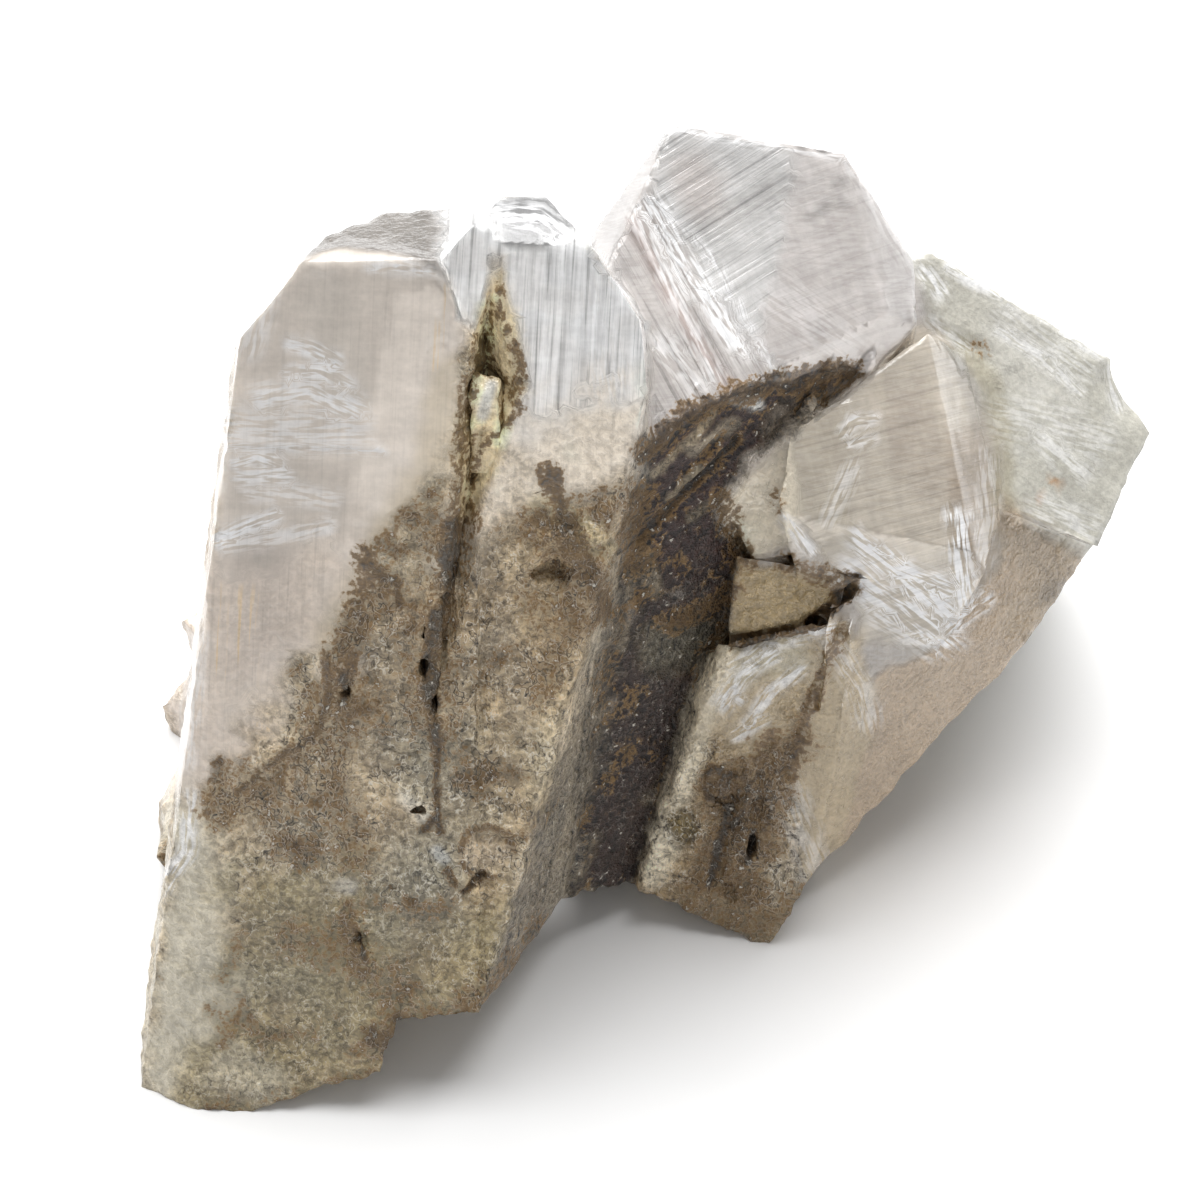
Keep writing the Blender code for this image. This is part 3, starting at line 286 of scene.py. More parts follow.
# Strokes of bright inner cracks and veils: strength, width and line
VEILS = [
    (0.9, 1.1, [(-23.2, 58.7), (-21.6, 58.3), (-19.9, 57.4)]),
    (0.9, 1.2, [(-23.2, 56.7), (-21.1, 56.7), (-19.1, 55.8)]),
    (0.8, 2.0, [(-25.3, 54.6), (-21.8, 55.2), (-18.8, 53.9)]),
    (0.6, 3.0, [(-27.6, 52.7), (-23.2, 52.4), (-19.1, 52.5)]),
    (0.8, 0.5, [(-28.1, 51.0), (-22.5, 50.9), (-16.1, 50.7)]),
    (1.0, 0.8, [(-27.3, 49.9), (-25.8, 50.3), (-24.3, 49.9)]),
    (0.8, 1.0, [(-27.0, 48.8), (-23.6, 48.9)]),
    (1.0, 1.0, [(-28.5, 44.2), (-26.6, 45.1), (-24.4, 45.8)]),
    (0.6, 1.0, [(-28.1, 43.7), (-24.0, 44.4), (-20.4, 45.1)]),
    (0.5, 1.4, [(-26.2, 47.9), (-20.2, 47.2)]),
    (0.8, 1.2, [(-30.8, 24.6), (-31.0, 20.8), (-32.6, 18.4)]),
    (0.5, 1.2, [(-30.0, 36.6), (-30.6, 32.1), (-31.0, 27.6)]),
    (0.9, 0.7, [(-17.2, 64.5), (-15.0, 64.6), (-12.6, 64.2)]),
    (0.5, 1.8, [(-25.3, 62.1), (-26.1, 58.7)]),
    (0.6, 1.6, [(-7.5, 68.7), (-4.5, 68.5), (-2.6, 67.2)]),
    (0.8, 0.7, [(-3.9, 66.6), (0.0, 65.0), (2.1, 62.1)]),
    (0.5, 2.4, [(0.0, 62.1), (0.8, 56.1)]),
    (1.1, 1.5, [(3.9, 69.2), (6.8, 64.3), (10.1, 59.1)]),
    (0.9, 0.8, [(5.4, 67.2), (8.6, 62.1), (10.9, 58.2)]),
    (0.9, 0.5, [(7.1, 67.3), (9.8, 62.8), (13.1, 56.7)]),
    (0.7, 1.4, [(3.0, 68.5), (5.4, 63.2), (8.4, 56.7)]),
    (0.6, 1.4, [(4.5, 59.1), (7.5, 55.4)]),
    (0.5, 2.4, [(9.0, 62.1), (10.9, 58.7)]),
    (0.3, 3.0, [(13.5, 62.1), (18.0, 59.1)]),
    (0.6, 0.8, [(5.4, 75.0), (9.0, 74.2), (18.4, 72.9)]),
    (0.4, 1.2, [(18.8, 72.6), (23.6, 64.7)]),
    (1.0, 0.9, [(13.9, 45.6), (14.8, 44.5), (15.8, 43.2)]),
    (0.9, 0.9, [(18.4, 52.2), (18.9, 53.1), (20.4, 53.2)]),
    (0.7, 0.7, [(18.8, 51.2), (20.6, 51.8)]),
    (1.2, 1.6, [(19.3, 44.1), (22.5, 41.7), (25.9, 40.4)]),
    (1.2, 1.6, [(21.0, 43.0), (24.0, 40.4), (26.2, 38.7)]),
    (1.0, 2.4, [(18.9, 41.4), (22.5, 39.1), (25.6, 36.6)]),
    (0.8, 1.6, [(21.0, 38.5), (23.6, 37.0), (25.1, 35.9)]),
    (1.1, 1.6, [(26.8, 45.6), (27.1, 42.6), (27.4, 39.6)]),
    (0.4, 1.4, [(28.9, 50.2), (29.2, 45.6), (28.5, 41.1)]),
    (1.0, 1.2, [(25.1, 36.4), (27.0, 38.2), (28.9, 39.6)]),
    (0.5, 1.2, [(18.8, 49.4), (17.2, 45.6)]),
    (0.5, 1.6, [(17.2, 36.6), (19.5, 32.9), (20.1, 30.6)]),
    (0.7, 1.0, [(10.1, 34.7), (12.4, 36.2), (15.0, 36.6)]),
    (0.9, 1.2, [(9.2, 31.8), (10.7, 33.9), (12.9, 35.5)]),
    (0.8, 1.0, [(11.2, 30.4), (12.9, 32.7), (15.1, 34.5)]),
    (0.7, 0.8, [(10.3, 29.4), (12.2, 30.6)]),
    (0.9, 0.8, [(14.2, 36.6), (15.9, 37.2), (17.6, 37.4)]),
    (0.8, 0.7, [(9.6, 32.5), (10.5, 32.1)]),
    (0.5, 1.6, [(9.0, 32.1), (10.1, 33.6), (12.0, 35.1)]),
    (0.4, 2.4, [(14.2, 24.6), (16.1, 20.1)]),
    (0.8, 1.2, [(24.4, 64.2), (25.5, 62.8)]),
    (0.8, 0.9, [(26.2, 64.6), (30.0, 62.5), (33.8, 60.6)]),
    (0.7, 0.8, [(34.6, 59.7), (37.6, 57.9)]),
    (0.6, 1.0, [(30.0, 59.7), (33.0, 58.0), (36.0, 55.2)]),
    (0.6, 0.9, [(38.4, 57.0), (39.1, 54.2)]),
    (0.5, 1.6, [(33.0, 51.6), (36.1, 49.2)]),
    (0.6, 1.0, [(24.9, 60.4), (27.4, 58.7)]),
    (0.4, 2.4, [(30.8, 60.6), (36.0, 56.9)]),
    (0.35, 3.4, [(31.5, 53.1), (36.8, 51.6)]),
    (0.5, 2.0, [(33.0, 46.4), (36.4, 44.9)]),
]

# Directions of growth lines: centre of the zone, the line and how strong the lines are
GRAINS = {
    "silver": ([(-4.1, 62.1)], [(-5.2, 32.1), (-3.0, 69.6)], 2.0),
    "chip": ([(-4.1, 62.1)], [(-5.2, 32.1), (-3.0, 69.6)], 0.4),
    "left_pink": ([(-20.2, 54.6)], [(-27.0, 17.1), (-24.8, 65.8)], 0.30),
    "left_top": ([(-20.2, 54.6)], [(-27.0, 17.1), (-24.8, 65.8)], 0.40),
    "whole_left": ([(-15.0, 32.1)], [(-18.0, 9.6), (-13.5, 54.6)], 0.4),
    "left_low_pink": ([(-25.5, 36.6)], [(-27.0, 17.1), (-24.8, 65.8)], 0.5),
    "left_foot": ([(-30.0, 9.6)], [(-30.0, 9.6), (-27.0, 39.6)], 0.3),
    "frosted": ([(-2.2, 50.9)], [(-5.2, 32.1), (-3.0, 69.6)], 0.5),
    "warm_etched": ([(-4.5, 35.9)], [(-6.0, 9.6), (0.0, 47.1)], 0.4),
    "fissure": ([(-8.2, 54.6)], [(-9.0, 47.1), (-7.7, 62.1)], 0.8),
    "wall_strip": ([(-2.2, 24.6)], [(-5.2, 11.1), (3.0, 48.6)], 2.4),
    "wall_high": ([(6.0, 47.1)], [(3.0, 44.1), (10.5, 51.4)], 2.2),
    "wall_low": ([(1.5, 27.6)], [(-0.8, 17.1), (6.0, 39.6)], 1.6),
    "back": ([(12.0, 65.8)], [(7.5, 65.8), (15.0, 68.5)], 0.45),
    "back_bands": ([(12.0, 65.8)], [(7.5, 65.8), (14.2, 70.0)], 1.3),
    "back_steps": ([(6.8, 62.1)], [(3.0, 69.6), (10.1, 56.7)], 1.6),
    "block": ([(33.8, 54.6)], [(27.0, 62.1), (37.5, 56.1)], 0.2),
    "bulge": ([(21.8, 48.6)], [(16.5, 49.4), (28.5, 52.7)], 0.8),
    "low_right": ([(26.2, 33.6)], [(19.5, 24.6), (34.5, 41.1)], 0.4),
    "front": ([(10.5, 27.6)], [(7.5, 17.1), (13.5, 36.6)], 0.6),
    "front_top": ([(12.0, 32.9)], [(7.5, 17.1), (13.5, 36.6)], 0.4),
    "front_side": ([(17.2, 27.6)], [(16.1, 18.6), (19.5, 36.6)], 0.5),
    "low_wedge": ([(13.5, 39.6)], [(10.5, 36.6), (18.0, 40.4)], 0.5),
    "high_wedge": ([(12.0, 47.1)], [(10.5, 42.6), (14.2, 51.6)], 0.4),
}

# Golden growth lines: strength, width and line
GOLD_LINES = [
    (1.0, 0.7, [(-11.5, 62.7), (-12.0, 59.8), (-12.4, 57.2)]),
    (0.9, 1.6, [(-28.9, 39.6), (-29.2, 32.9)]),
    (0.9, 1.6, [(-26.6, 39.6), (-27.0, 33.6)]),
    (0.7, 1.4, [(-25.1, 30.6), (-22.5, 24.6)]),
]

# Cracks and pits to press in: strength, width and line
CRACKS = [
    (0.8, 0.4, [(-10.2, 17.6), (-8.7, 19.1)]),
    (1.0, 0.7, [(3.0, 44.1), (6.8, 47.7), (10.5, 51.4)]),
    (0.6, 0.5, [(4.1, 47.1), (7.5, 49.9), (10.1, 52.7)]),
    (0.9, 0.9, [(19.3, 40.8), (17.4, 39.0), (15.1, 37.2), (12.4, 36.6), (9.8, 36.4)]),
    (0.8, 0.8, [(18.4, 37.5), (17.6, 35.5), (15.9, 32.1), (15.0, 28.9), (14.2, 26.7)]),
    (1.1, 0.8, [(9.8, 24.6), (9.4, 22.2), (8.5, 18.6)]),
    (1.0, 0.7, [(11.8, 24.6), (11.4, 20.8)]),
    (0.35, 0.6, [(-28.1, 51.1), (-22.5, 51.0), (-16.5, 50.8)]),
    (0.6, 0.7, [(25.5, 59.8), (28.9, 58.3), (30.0, 53.1)]),
    (0.8, 0.8, [(-12.8, 64.3), (-11.4, 62.1), (-12.0, 58.7)]),
    (0.9, 1.6, [(38.4, 56.1), (39.4, 54.4)]),
]

# Ledges and ridges to raise: strength, width and line
RIDGES = [
    (1.0, 1.4, [(-20.6, 35.9), (-20.2, 32.9), (-21.1, 30.1), (-24.0, 28.2), (-27.1, 25.5)]),
    (0.8, 1.2, [(-22.5, 64.7), (-19.1, 65.6), (-15.0, 65.2), (-12.0, 64.2)]),
    (0.5, 0.8, [(-10.8, 20.4), (-10.3, 22.3), (-8.2, 22.9), (-6.6, 22.2)]),
    (0.9, 1.3, [(-8.8, 58.3), (-9.6, 56.1), (-10.2, 53.1), (-10.7, 50.1), (-11.2, 45.6)]),
    (1.5, 1.5, [(-11.3, 44.1), (-11.5, 40.7)]),
    (1.5, 1.5, [(-12.4, 39.0), (-12.8, 36.2)]),
    (1.5, 1.5, [(-13.0, 35.9), (-13.0, 32.9), (-12.4, 29.8)]),
    (1.5, 1.5, [(-19.2, 34.2), (-19.0, 32.1)]),
    (1.5, 1.5, [(-18.0, 15.2), (-17.6, 12.6)]),
    (1.0, 1.5, [(-14.6, 25.0), (-12.9, 23.5)]),
    (1.2, 1.6, [(-4.3, 42.9), (-3.3, 43.7), (-2.4, 42.9)]),
    (1.3, 1.7, [(11.5, 22.2), (11.4, 20.7)]),
    (1.3, 1.0, [(8.4, 26.4), (9.2, 25.6), (8.7, 24.6)]),
    (1.3, 1.0, [(10.7, 26.7), (11.4, 25.2), (10.8, 24.0)]),
    (1.2, 0.9, [(12.6, 25.7), (12.9, 23.7)]),
    (0.8, 1.2, [(3.4, 51.6), (1.5, 44.9), (-3.0, 30.6), (-6.0, 19.3)]),
    (0.7, 1.2, [(9.4, 35.9), (6.0, 26.1), (3.0, 17.8)]),
    (0.5, 1.6, [(5.2, 23.6), (6.3, 24.0), (7.2, 23.4), (7.3, 22.2), (6.3, 21.4), (5.3, 22.1), (5.2, 23.1)]),
]

# Directions in which the openness of the surface is tested, and how far
OPEN_WAYS = [
    (0, 0, 1), (1, 0, 0.3), (-1, 0, 0.3), (0, 1, 0.3), (0, -1, 0.3),
    (0.7, 0.7, 0.9), (-0.7, 0.7, 0.9), (0.7, -0.7, 0.9), (-0.7, -0.7, 0.9),
    (0.5, 0.0, -1.0), (-0.5, 0.0, -1.0), (0.0, 0.6, -1.0), (0.0, -0.6, -1.0)]
OPEN_REACH = 9.0

# Studio: lights by name, place, size and power, in metres and watts
FLOOR_HALF = 1.5
WORLD_STRENGTH = 0.36
LIGHTS = [
    ("key", (0.02, 0.38, 0.78), 1.00, 16.0),
]


def view_frame(points):
    """Where points in millimetres are seen from the front: right, up and near, as the part's source gives them."""
    x = points[:, 0] + MIDDLE[0]
    y = points[:, 1] + MIDDLE[1]
    z = points[:, 2] + MIDDLE[2]
    rise = y * RISE_SIN + z * RISE_COS
    near = z * RISE_SIN - y * RISE_COS
    shrink = 1.0 - near / VIEW_DISTANCE
    return np.stack([x / shrink, VIEW_CENTRE_UP + (rise - VIEW_CENTRE_UP) / shrink], axis=1), near


def eye_place():
    """The place of the camera and what it looks at, in metres."""
    rise = VIEW_CENTRE_UP
    target = Vector((0.0, rise * RISE_SIN, rise * RISE_COS)) - Vector(MIDDLE)
    return (target + Vector((0.0, -RISE_COS, RISE_SIN)) * VIEW_DISTANCE) * MM, target * MM


def smooth_step(low, high, value):
    share = np.clip((value - low) / (high - low), 0.0, 1.0)
    return share * share * (3.0 - 2.0 * share)


def near_line(spots, line, reach):
    """Numbers of the spots within reach of the box round a line."""
    low = np.min(line, axis=0) - reach
    high = np.max(line, axis=0) + reach
    return np.nonzero(np.all((spots > low) & (spots < high), axis=1))[0]


def line_place(spots, line):
    """Distance of each spot from a line through corners, and the spot's place along and across the line."""
    line = np.array(line)
    best = np.full(len(spots), 1e9)
    place = np.zeros((len(spots), 2))
    passed = 0.0
    for start, end in zip(line[:-1], line[1:]):
        run = end - start
        length = np.linalg.norm(run)
        from_start = spots - start
        along = (from_start @ run) / length
        across = (from_start[:, 0] * run[1] - from_start[:, 1] * run[0]) / length
        nearest = np.clip(along, 0.0, length)[:, None] * run / length
        away = np.linalg.norm(from_start - nearest, axis=1)
        closer = away < best
        best[closer] = away[closer]
        place[closer] = np.stack([passed + along, across], axis=1)[closer]
        passed += length
    return best, place


def inside_distance(all_spots, outline, reach=6.0):
    """Signed distance of each spot from a closed outline: positive inside."""
    outline = np.array(outline)
    near = near_line(all_spots, outline, reach)
    spots = all_spots[near]
    inside = np.zeros(len(spots), bool)
    ahead = np.roll(outline, -1, axis=0)
    for (x0, y0), (x1, y1) in zip(outline, ahead):
        if y0 != y1:
            crosses = (y0 > spots[:, 1]) != (y1 > spots[:, 1])
            where = (x1 - x0) * (spots[:, 1] - y0) / (y1 - y0) + x0
            inside ^= crosses & (spots[:, 0] < where)
    away, place = line_place(spots, np.vstack([outline, outline[:1]]))
    result = np.full(len(all_spots), -reach)
    result[near] = np.where(inside, away, -away)
    return result


def noise_at(points, size, shift=0.0):
    """Smooth noise, about -1 to 1, with bumps of a size in millimetres."""
    offset = Vector((shift, shift * 0.7, -shift))
    return np.array([noise.noise(Vector(point) / size + offset) for point in points])


def read_points(mesh_points):
    points = np.array([vert.co[:] for vert in mesh_points])
    return points / MM


def welded_copy(source):
    """The frame's mesh with its split corners joined again."""
    bm = bmesh.new()
    bm.from_mesh(source.data)
    bmesh.ops.remove_doubles(bm, verts=bm.verts, dist=0.0005 * MM)
    bmesh.ops.triangulate(bm, faces=bm.faces)
    return bm


def zone_relief(spots):
    """How strongly the zones of the front are etched."""
    relief = np.zeros(len(spots))
    for name, outline, soft, colour, clearness, roughness, rise in ZONES:
        relief[inside_distance(spots, outline) > 0.0] = rise
    return relief


def split_edges(bm, crease, split):
    """Halve these edges and tidy the flat places between them."""
    bmesh.ops.subdivide_edges(bm, edges=split, cuts=1)
    bmesh.ops.triangulate(bm, faces=bm.faces)
    flat = [
        edge for edge in bm.edges
        if not edge[crease] and edge.calc_face_angle(1.0) < FLAT_ANGLE]
    bmesh.ops.beautify_fill(bm, faces=bm.faces, edges=flat, method="ANGLE")
    bm.normal_update()


def refine(bm, eye):
    """Split long edges until the faces are small, smallest where the front view shows etched faces."""
    crease = bm.edges.layers.int.new("crease")
    bm.normal_update()
    for edge in bm.edges:
        edge[crease] = int(edge.calc_face_angle(0.0) > math.radians(CREASE_ANGLE))
    for limit in SPLIT_STEPS:
        split = []
        for edge in bm.edges:
            length = edge.calc_length()
            if length <= limit * MM:
                continue
            middle = (edge.verts[0].co + edge.verts[1].co) / 2
            facing = max((face.normal.dot(eye - middle) for face in edge.link_faces), default=0.0)
            if facing > 0.0 or length > COARSE_EDGE * MM:
                split.append(edge)
        split_edges(bm, crease, split)
    for limit in ETCHED_STEPS:
        bm.verts.index_update()
        points = read_points(bm.verts)
        normals = np.array([vert.normal[:] for vert in bm.verts])
        etched = zone_relief(view_frame(points)[0]) > ETCHED_FROM
        fine = etched & (seen_from(bm, points, normals, eye) > 0.5)
        split = [
            edge for edge in bm.edges
            if fine[edge.verts[0].index] and fine[edge.verts[1].index] and edge.calc_length() > limit * MM]
        split_edges(bm, crease, split)
    return crease


def edge_nearness(bm, crease):
    """One on the outward creases, less beside them."""
    value = np.zeros(len(bm.verts))
    for edge in bm.edges:
        if edge[crease] and edge.is_convex and edge.calc_face_angle(0.0) > math.radians(25.0):
            for vert in edge.verts:
                value[vert.index] = 1.0
    beside = value.copy()
    for edge in bm.edges:
        first, second = edge.verts[0].index, edge.verts[1].index
        beside[first] = max(beside[first], value[second] * 0.45)
        beside[second] = max(beside[second], value[first] * 0.45)
    return beside


def seen_from(bm, points, normals, eye):
    """Which points the eye sees, as numbers from 0 to 1."""
    tree = BVHTree.FromBMesh(bm)
    seen = np.zeros(len(points))
    for number in range(len(points)):
        spot = Vector(points[number]) * MM
        way = eye - spot
        far = way.length
        way.normalize()
        if way.dot(Vector(normals[number])) < -0.15:
            continue
        hit = tree.ray_cast(spot + way * 0.6 * MM, way, far)
        if hit[0] is None:
            seen[number] = 1.0
    return seen


def spread(bm, values, times):
    """Each value taken over by the neighbours, a number of times."""
    ends = np.array([(edge.verts[0].index, edge.verts[1].index) for edge in bm.edges])
    for count in range(times):
        wider = values.copy()
        np.maximum.at(wider, ends[:, 0], values[ends[:, 1]])
        np.maximum.at(wider, ends[:, 1], values[ends[:, 0]])
        values = wider
    return values


def openness(bm, points, normals):
    """How open the surface is around each point: near zero in the clefts."""
    tree = BVHTree.FromBMesh(bm)
    ways = [Vector(way).normalized() for way in OPEN_WAYS]
    value = np.zeros(len(points))
    for number in range(0, len(points)):
        normal = Vector(normals[number])
        spot = Vector(points[number]) * MM + normal * 0.25 * MM
        free = 0.0
        total = 0.0
        for way in ways:
            lean = way.dot(normal)
            if lean <= 0.1:
                continue
            total += lean
            if tree.ray_cast(spot, way, OPEN_REACH * MM)[0] is None:
                free += lean
        value[number] = free / max(total, 1e-6)
    return value


def paint_zones(spots, seen, points):
    """Colour, clearness, roughness and relief of each point, and its growth lines."""
    count = len(spots)
    height = points[:, 2]
    depth = points[:, 1]
    blotch = noise_at(points, 9.0, 3.0)
    hidden_low = smooth_step(20.0, 10.0, height + 5.0 * blotch)
    base = np.array(HIDDEN_PINK) * (1.0 - hidden_low[:, None]) + np.array(CRUST) * hidden_low[:, None]
    greenish = smooth_step(16.0, 24.0, points[:, 0] + 3.0 * blotch)
    base = base * (1.0 - greenish[:, None]) + np.array(BLOCK_GREEN) * 0.80 * greenish[:, None]
    clear = 0.5 - 0.4 * hidden_low
    rough = 0.18 + 0.35 * hidden_low
    relief = 0.15 + 0.85 * hidden_low
    grain = np.stack([points[:, 0], 0.35 * points[:, 2] + 0.2 * depth, np.zeros(count)], axis=1)
    lines = np.full(count, 0.4) * (1.0 - hidden_low)
    jitter = noise_at(points, 1.6, 11.0) * 0.8 + noise_at(points, 5.0, 5.0) * 1.0
    for name, outline, soft, colour, clearness, roughness, rise in ZONES:
        share = smooth_step(-soft, soft, inside_distance(spots, outline, 3.0 * soft) + jitter * soft) * seen
        base += (np.array(colour) - base) * share[:, None]
        clear += (clearness - clear) * share
        rough += (roughness - rough) * share
        relief += (rise - relief) * share
        if name in GRAINS:
            centre, run, strength = GRAINS[name]
            way = np.array(run[1]) - np.array(run[0])
            way = way / np.linalg.norm(way)
            away = spots - np.array(centre[0])
            frame_here = np.stack([
                away[:, 0] * way[1] - away[:, 1] * way[0], away @ way, np.zeros(count)], axis=1)
            owned = share > 0.5
            grain[owned] = frame_here[owned]
            lines[owned] = strength
    return base, clear, rough, relief, grain, lines


def paint_tints(base, spots, seen, points):
    """Soft touches of colour over the zones."""
    fray = noise_at(points, 1.6, 51.0) * 0.5
    for colour, strength, width, line in TINTS:
        near = near_line(spots, line, 2.0 * width)
        away, place = line_place(spots[near], line)
        share = strength * smooth_step(width, width * 0.3, away + fray[near] * width * 0.5) * seen[near]
        base[near] += (np.array(colour) - base[near]) * share[:, None]


def paint_strokes(spots, seen, points, strokes, ragged):
    """How strongly the strokes cover each point, with ragged borders, and the place along each stroke."""
    cover = np.zeros(len(spots))
    flow = np.zeros((len(spots), 3))
    flow[:, :2] = spots
    fray = noise_at(points, 0.9, 21.0) * 0.5 + noise_at(points, 2.4, 9.0) * 0.7
    for number, (strength, width, line) in enumerate(strokes):
        near = near_line(spots, line, 2.0 * width)
        away, place = line_place(spots[near], line)
        share = strength * smooth_step(width, width * 0.15, away + fray[near] * ragged * width * 0.5)
        stronger = share > cover[near]
        chosen = near[stronger]
        cover[chosen] = share[stronger]
        flow[chosen, :2] = place[stronger]
        flow[chosen, 2] = 3.7 * (number + 1)
    return cover * seen, flow


def etched_bumps(points, middle):
    """Hillocks and hollows of an etched face in millimetres, and a lightness for each little crystal."""
    coarse = noise_at(points, 2.4, 1.0)
    fine = noise_at(points, 0.55, 4.0)
    grain = np.zeros(len(points))
    hills = np.zeros(len(points))
    for number, point in enumerate(points):
        away, centres = noise.voronoi(Vector(point) / 1.15 + Vector((0.0, 0.0, 0.25 * middle[number])))
        hills[number] = away[0]
        grain[number] = noise.noise(centres[0] * 3.7)
    bumps = (np.abs(coarse) - 0.28) * 0.50 + (0.45 - hills) * 0.24 + middle * 0.16 + fine * 0.12
    return bumps, grain


def displaced(points, normals, relief, edge_wear_and_highlight, dents, ridges):
    """The points pushed in and out: etched relief, chipped edges, cracks and ridges; and a painted shade from the
    relief, with a random lightness for each little crystal.
    """
    middle = noise_at(points, 1.0, 2.0)
    bumps, grain_light = etched_bumps(points, middle)
    push = bumps * relief
    chips = np.clip(noise_at(points, 2.6, 31.0) + 0.15, 0.0, 1.0) * 0.30
    chips += np.clip(noise_at(points, 0.9, 33.0), 0.0, 1.0) * 0.22
    push -= edge_wear_and_highlight * chips
    push -= dents * (0.45 + 0.25 * middle)
    push += ridges * 0.30
    moved = points + normals * push[:, None]
    low = np.array(cad_box[0][:]) / MM + BOX_MARGIN
    high = np.array(cad_box[1][:]) / MM - BOX_MARGIN
    low[2] -= BOX_MARGIN
    still = points[:, 2] < 0.03
    # Painted shade: places pushed out are lighter and places pushed in darker, plus a random lightness per little
    # crystal
    shade = np.clip(push / 0.30, -1.0, 1.0) + 0.35 * grain_light
    moved[still, 2] = points[still, 2]
    return np.clip(moved, low, high), shade


def write_float(mesh, name, values):
    layer = mesh.attributes.new(name, "FLOAT", "POINT")
    layer.data.foreach_set("value", np.ascontiguousarray(values, dtype=np.float32))


def write_vector(mesh, name, values):
    layer = mesh.attributes.new(name, "FLOAT_VECTOR", "POINT")
    layer.data.foreach_set("vector", np.ascontiguousarray(values, dtype=np.float32).ravel())


def write_colour(mesh, name, values):
    layer = mesh.attributes.new(name, "FLOAT_COLOR", "POINT")
    full = np.ones((len(values), 4), dtype=np.float32)
    full[:, :3] = values
    layer.data.foreach_set("color", full.ravel())


def dressed_crystal(source):
    """The finished cluster: the frame's solid with fine relief, and its painted layers."""
    eye, target = eye_place()
    bm = welded_copy(source)
    crease = refine(bm, eye)
    bm.verts.index_update()
    bm.verts.ensure_lookup_table()
    points = read_points(bm.verts)
    normals = np.array([vert.normal[:] for vert in bm.verts])
    spots, near = view_frame(points)
    seen_near = spread(bm, seen_from(bm, points, normals, eye), 1)
    seen = spread(bm, seen_near, 3)
    open_share = openness(bm, points, normals)
    edge_wear_and_highlight = edge_nearness(bm, crease)

    base, clear, rough, relief, grain, lines = paint_zones(spots, seen, points)
    paint_tints(base, spots, seen, points)
    dirt, flow = paint_strokes(spots, seen, points, DIRT, 1.0)
    gold, flow = paint_strokes(spots, seen, points, GOLD_LINES, 0.3)
    dents, flow = paint_strokes(spots, seen, points, CRACKS, 0.5)
    ridges, flow = paint_strokes(spots, seen, points, RIDGES, 0.5)
    veil, flow = paint_strokes(spots, seen, points, VEILS, 0.7)
    cleft = smooth_step(0.50, 0.15, open_share + 0.12 * noise_at(points, 1.8, 17.0))
    grime = 0.45 * cleft * smooth_step(0.15, 0.6, relief)
    veil = np.maximum(veil, 0.16 * smooth_step(0.3, 0.6, clear))

    moved, shade = displaced(points, normals, relief, edge_wear_and_highlight, dents, ridges)
    etched = smooth_step(0.35, 0.8, relief)
    # Painted shade on etched faces: hillocks lighter, hollows darker
    base *= 1.0 + 0.24 * (shade * etched)[:, None]
    warmth = noise_at(points, 4.5, 47.0) * etched
    base *= 1.0 + warmth[:, None] * np.array((0.07, 0.0, -0.09))
    patches = noise_at(points, 5.0, 61.0) + 0.6 * noise_at(points, 1.8, 63.0)
    base *= 1.0 + 0.32 * (patches * etched)[:, None]
    grime = np.maximum(grime, 0.80 * np.clip(-0.13 - patches, 0.0, 1.0) * etched)
    grime += 0.25 * np.clip(-shade, 0.0, 1.0) * etched
    dirt = np.maximum(dirt, np.minimum(grime, 0.58))
    cloud = 0.12 * noise_at(points, 2.2, 41.0) + 0.10 * noise_at(points, 7.0, 43.0)
    # Painted highlight, partly real wear: the outward crystal edges made lighter; cloud is a random cloudiness
    base *= 1.0 + (cloud + 0.14 * edge_wear_and_highlight)[:, None]
    base *= 1.0 - 0.30 * (seen - seen_near)[:, None]
    base = np.clip(base, 0.01, 0.95)
    for vert, place in zip(bm.verts, moved * MM):
        vert.co = place
    for face in bm.faces:
        face.smooth = True
    mesh = bpy.data.meshes.new("danburite_crystals")
    bm.to_mesh(mesh)
    bm.free()
    mesh.set_sharp_from_angle(angle=math.radians(SHARP_ANGLE))

    write_colour(mesh, "tone", base)
    write_float(mesh, "clear", clear)
    write_float(mesh, "rough", rough)
    write_float(mesh, "dirt", dirt)
    write_float(mesh, "veil", veil)
    write_float(mesh, "gold", gold)
    write_vector(mesh, "flow", flow)
    write_float(mesh, "lines", lines)
    write_vector(mesh, "grain", grain)
    obj = bpy.data.objects.new("danburite_crystals", mesh)
    bpy.context.scene.collection.objects.link(obj)
    return obj


